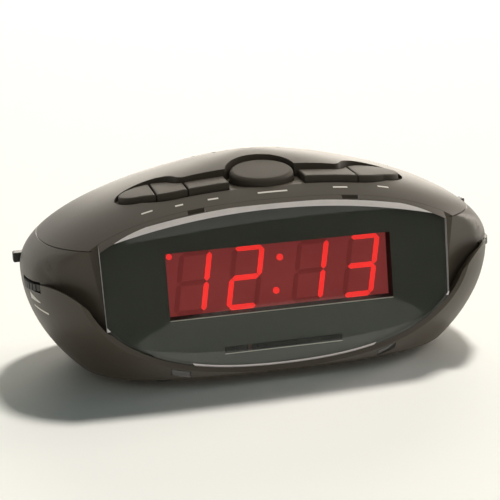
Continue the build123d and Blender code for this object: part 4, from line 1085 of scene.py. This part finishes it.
@dataclass
class Studio:
    """Pale floor, white surroundings, a dark screen behind the camera and soft lamps."""

    floor_front: float = -0.24
    floor_back: float = 8.0
    floor_side: float = 6.0
    floor_colour: Colour = (0.96, 0.96, 0.94)
    floor_roughness: float = 0.7
    fill_colour: Colour = (0.86, 1.0, 0.95)
    fill_strength: float = 0.12
    white: Colour = (0.99, 0.965, 0.91)
    screen_colour: Colour = (0.030, 0.025, 0.020)
    screen_roughness: float = 0.9
    stage_specular: float = 0.1
    screen_radius: float = 1.1
    screen_low: float = -0.35
    screen_high: float = 0.45
    screen_from: float = math.radians(-75.0)
    screen_to: float = math.radians(80.0)
    screen_steps: int = 24
    lamps: tuple[SoftSun, ...] = (
        SoftSun("top_key", Vector((0.30, 0.39, 0.86)), 2.55, math.radians(8.0), (1.0, 0.96, 0.89),
                mirrored=False),
        SoftSun("right_key", Vector((0.86, 0.28, 0.43)), 0.55, math.radians(16.0), (1.0, 0.88, 0.80)),
        SoftSun("table_bounce", Vector((0.25, -0.45, -0.85)), 0.9, math.radians(60.0), (1.0, 0.94, 0.86),
                spares_floor=True),
        SoftSun("front_fill", Vector((0.62, -0.62, 0.48)), 0.5, math.radians(16.0), (1.0, 0.93, 0.84),
                spares_floor=True),
        SoftSun("back_rim", Vector((0.26, 0.90, 0.25)), 1.5, math.radians(40.0), (1.0, 0.92, 0.80)),
        SoftSun("right_rim", Vector((0.93, 0.34, 0.05)), 1.2, math.radians(30.0), (1.0, 0.92, 0.82)),
    )

    def build(self) -> None:
        """Builds the floor, the screen, the world and the lamps."""
        floor = self._floor()
        self._screen()
        self._world()
        for lamp in self.lamps:
            lamp.build(floor)
        bpy.context.scene.view_settings.view_transform = "Standard"

    def _plain(self, name: str, colour: Colour, roughness: float) -> bpy.types.Material:
        """Makes a plain material for a stage piece.

        Args:
            name: Name of the material.
            colour: Its colour.
            roughness: Its roughness.

        Returns:
            The material.
        """
        material = bpy.data.materials.new(name)
        material.use_nodes = True
        shader = material.node_tree.nodes["Principled BSDF"]
        shader.inputs["Base Color"].default_value = (*colour, 1.0)
        shader.inputs["Roughness"].default_value = roughness
        shader.inputs["Specular IOR Level"].default_value = self.stage_specular
        return material

    def _floor(self) -> bpy.types.Collection:
        """Lays the floor under the feet, in two sheets so that the lens mirrors only the near one.

        Returns:
            The sheets, marked to be left out by the lamps that name them.
        """
        sheets = bpy.data.collections.new("floor_sheets")
        pale = self._plain("floor_pale", self.floor_colour, self.floor_roughness)
        side = self.floor_side
        for name, near, far, mirrored in (
            ("floor", self.floor_front, self.floor_back, True),
            ("floor_ahead", -self.floor_back, self.floor_front, False),
        ):
            corners = [(-side, near, 0.0), (side, near, 0.0), (side, far, 0.0), (-side, far, 0.0)]
            sheet = new_piece(name, corners, [(0, 1, 2, 3)], pale)
            sheet.visible_glossy = mirrored
            sheet.visible_transmission = mirrored
            sheets.objects.link(sheet)
        for entry in sheets.collection_objects:
            entry.light_linking.link_state = "EXCLUDE"
        return sheets

    def _screen(self) -> None:
        """Stands a dark screen round the front, which only reflections show."""
        points: list[tuple[float, float, float]] = []
        for step in range(self.screen_steps + 1):
            share = step / self.screen_steps
            turn = self.screen_from + (self.screen_to - self.screen_from) * share
            x = math.sin(turn) * self.screen_radius
            y = -math.cos(turn) * self.screen_radius
            points += [(x, y, self.screen_low), (x, y, self.screen_high)]
        faces = [(2 * step, 2 * step + 1, 2 * step + 3, 2 * step + 2) for step in range(self.screen_steps)]
        dark = self._plain("screen_dark", self.screen_colour, self.screen_roughness)
        screen = new_piece("dark_screen", points, faces, dark)
        screen.visible_camera = False
        screen.visible_diffuse = False
        screen.visible_shadow = False

    def _world(self) -> None:
        """Surrounds the object with soft light, warm white to the camera, in gloss and through glass."""
        world = bpy.data.worlds.new("studio")
        bpy.context.scene.world = world
        world.use_nodes = True
        nodes, links = world.node_tree.nodes, world.node_tree.links
        nodes.clear()
        path = nodes.new("ShaderNodeLightPath")
        soft = nodes.new("ShaderNodeBackground")
        soft.inputs["Color"].default_value = (*self.fill_colour, 1.0)
        soft.inputs["Strength"].default_value = self.fill_strength
        white = nodes.new("ShaderNodeBackground")
        white.inputs["Color"].default_value = (*self.white, 1.0)
        white.inputs["Strength"].default_value = 1.0
        mix = nodes.new("ShaderNodeMixShader")
        end = nodes.new("ShaderNodeOutputWorld")
        factor = path.outputs["Is Camera Ray"]
        for ray in ("Is Glossy Ray", "Is Transmission Ray"):
            either = nodes.new("ShaderNodeMath")
            either.operation = "MAXIMUM"
            links.new(factor, either.inputs[0])
            links.new(path.outputs[ray], either.inputs[1])
            factor = either.outputs[0]
        links.new(factor, mix.inputs["Fac"])
        links.new(soft.outputs["Background"], mix.inputs[1])
        links.new(white.outputs["Background"], mix.inputs[2])
        links.new(mix.outputs["Shader"], end.inputs["Surface"])


def main() -> None:
    """Dresses the solids, adds the prints, the windings and the dial ticks, and sets the studio."""
    logging.basicConfig(level=logging.INFO)
    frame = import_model()
    palette = Palette()
    solids = Solids(frame, palette)
    solids.dress()
    LensPlate(palette).build(solids.copies["lens"])
    PrintedMarks(palette).build(solids.copies["top_cover"], solids.copies["bottom_shell"])
    Windings(palette).build()
    DialScale(palette).build()
    Studio().build()
    ViewPoint().build()


if __name__ == "__main__":
    main()
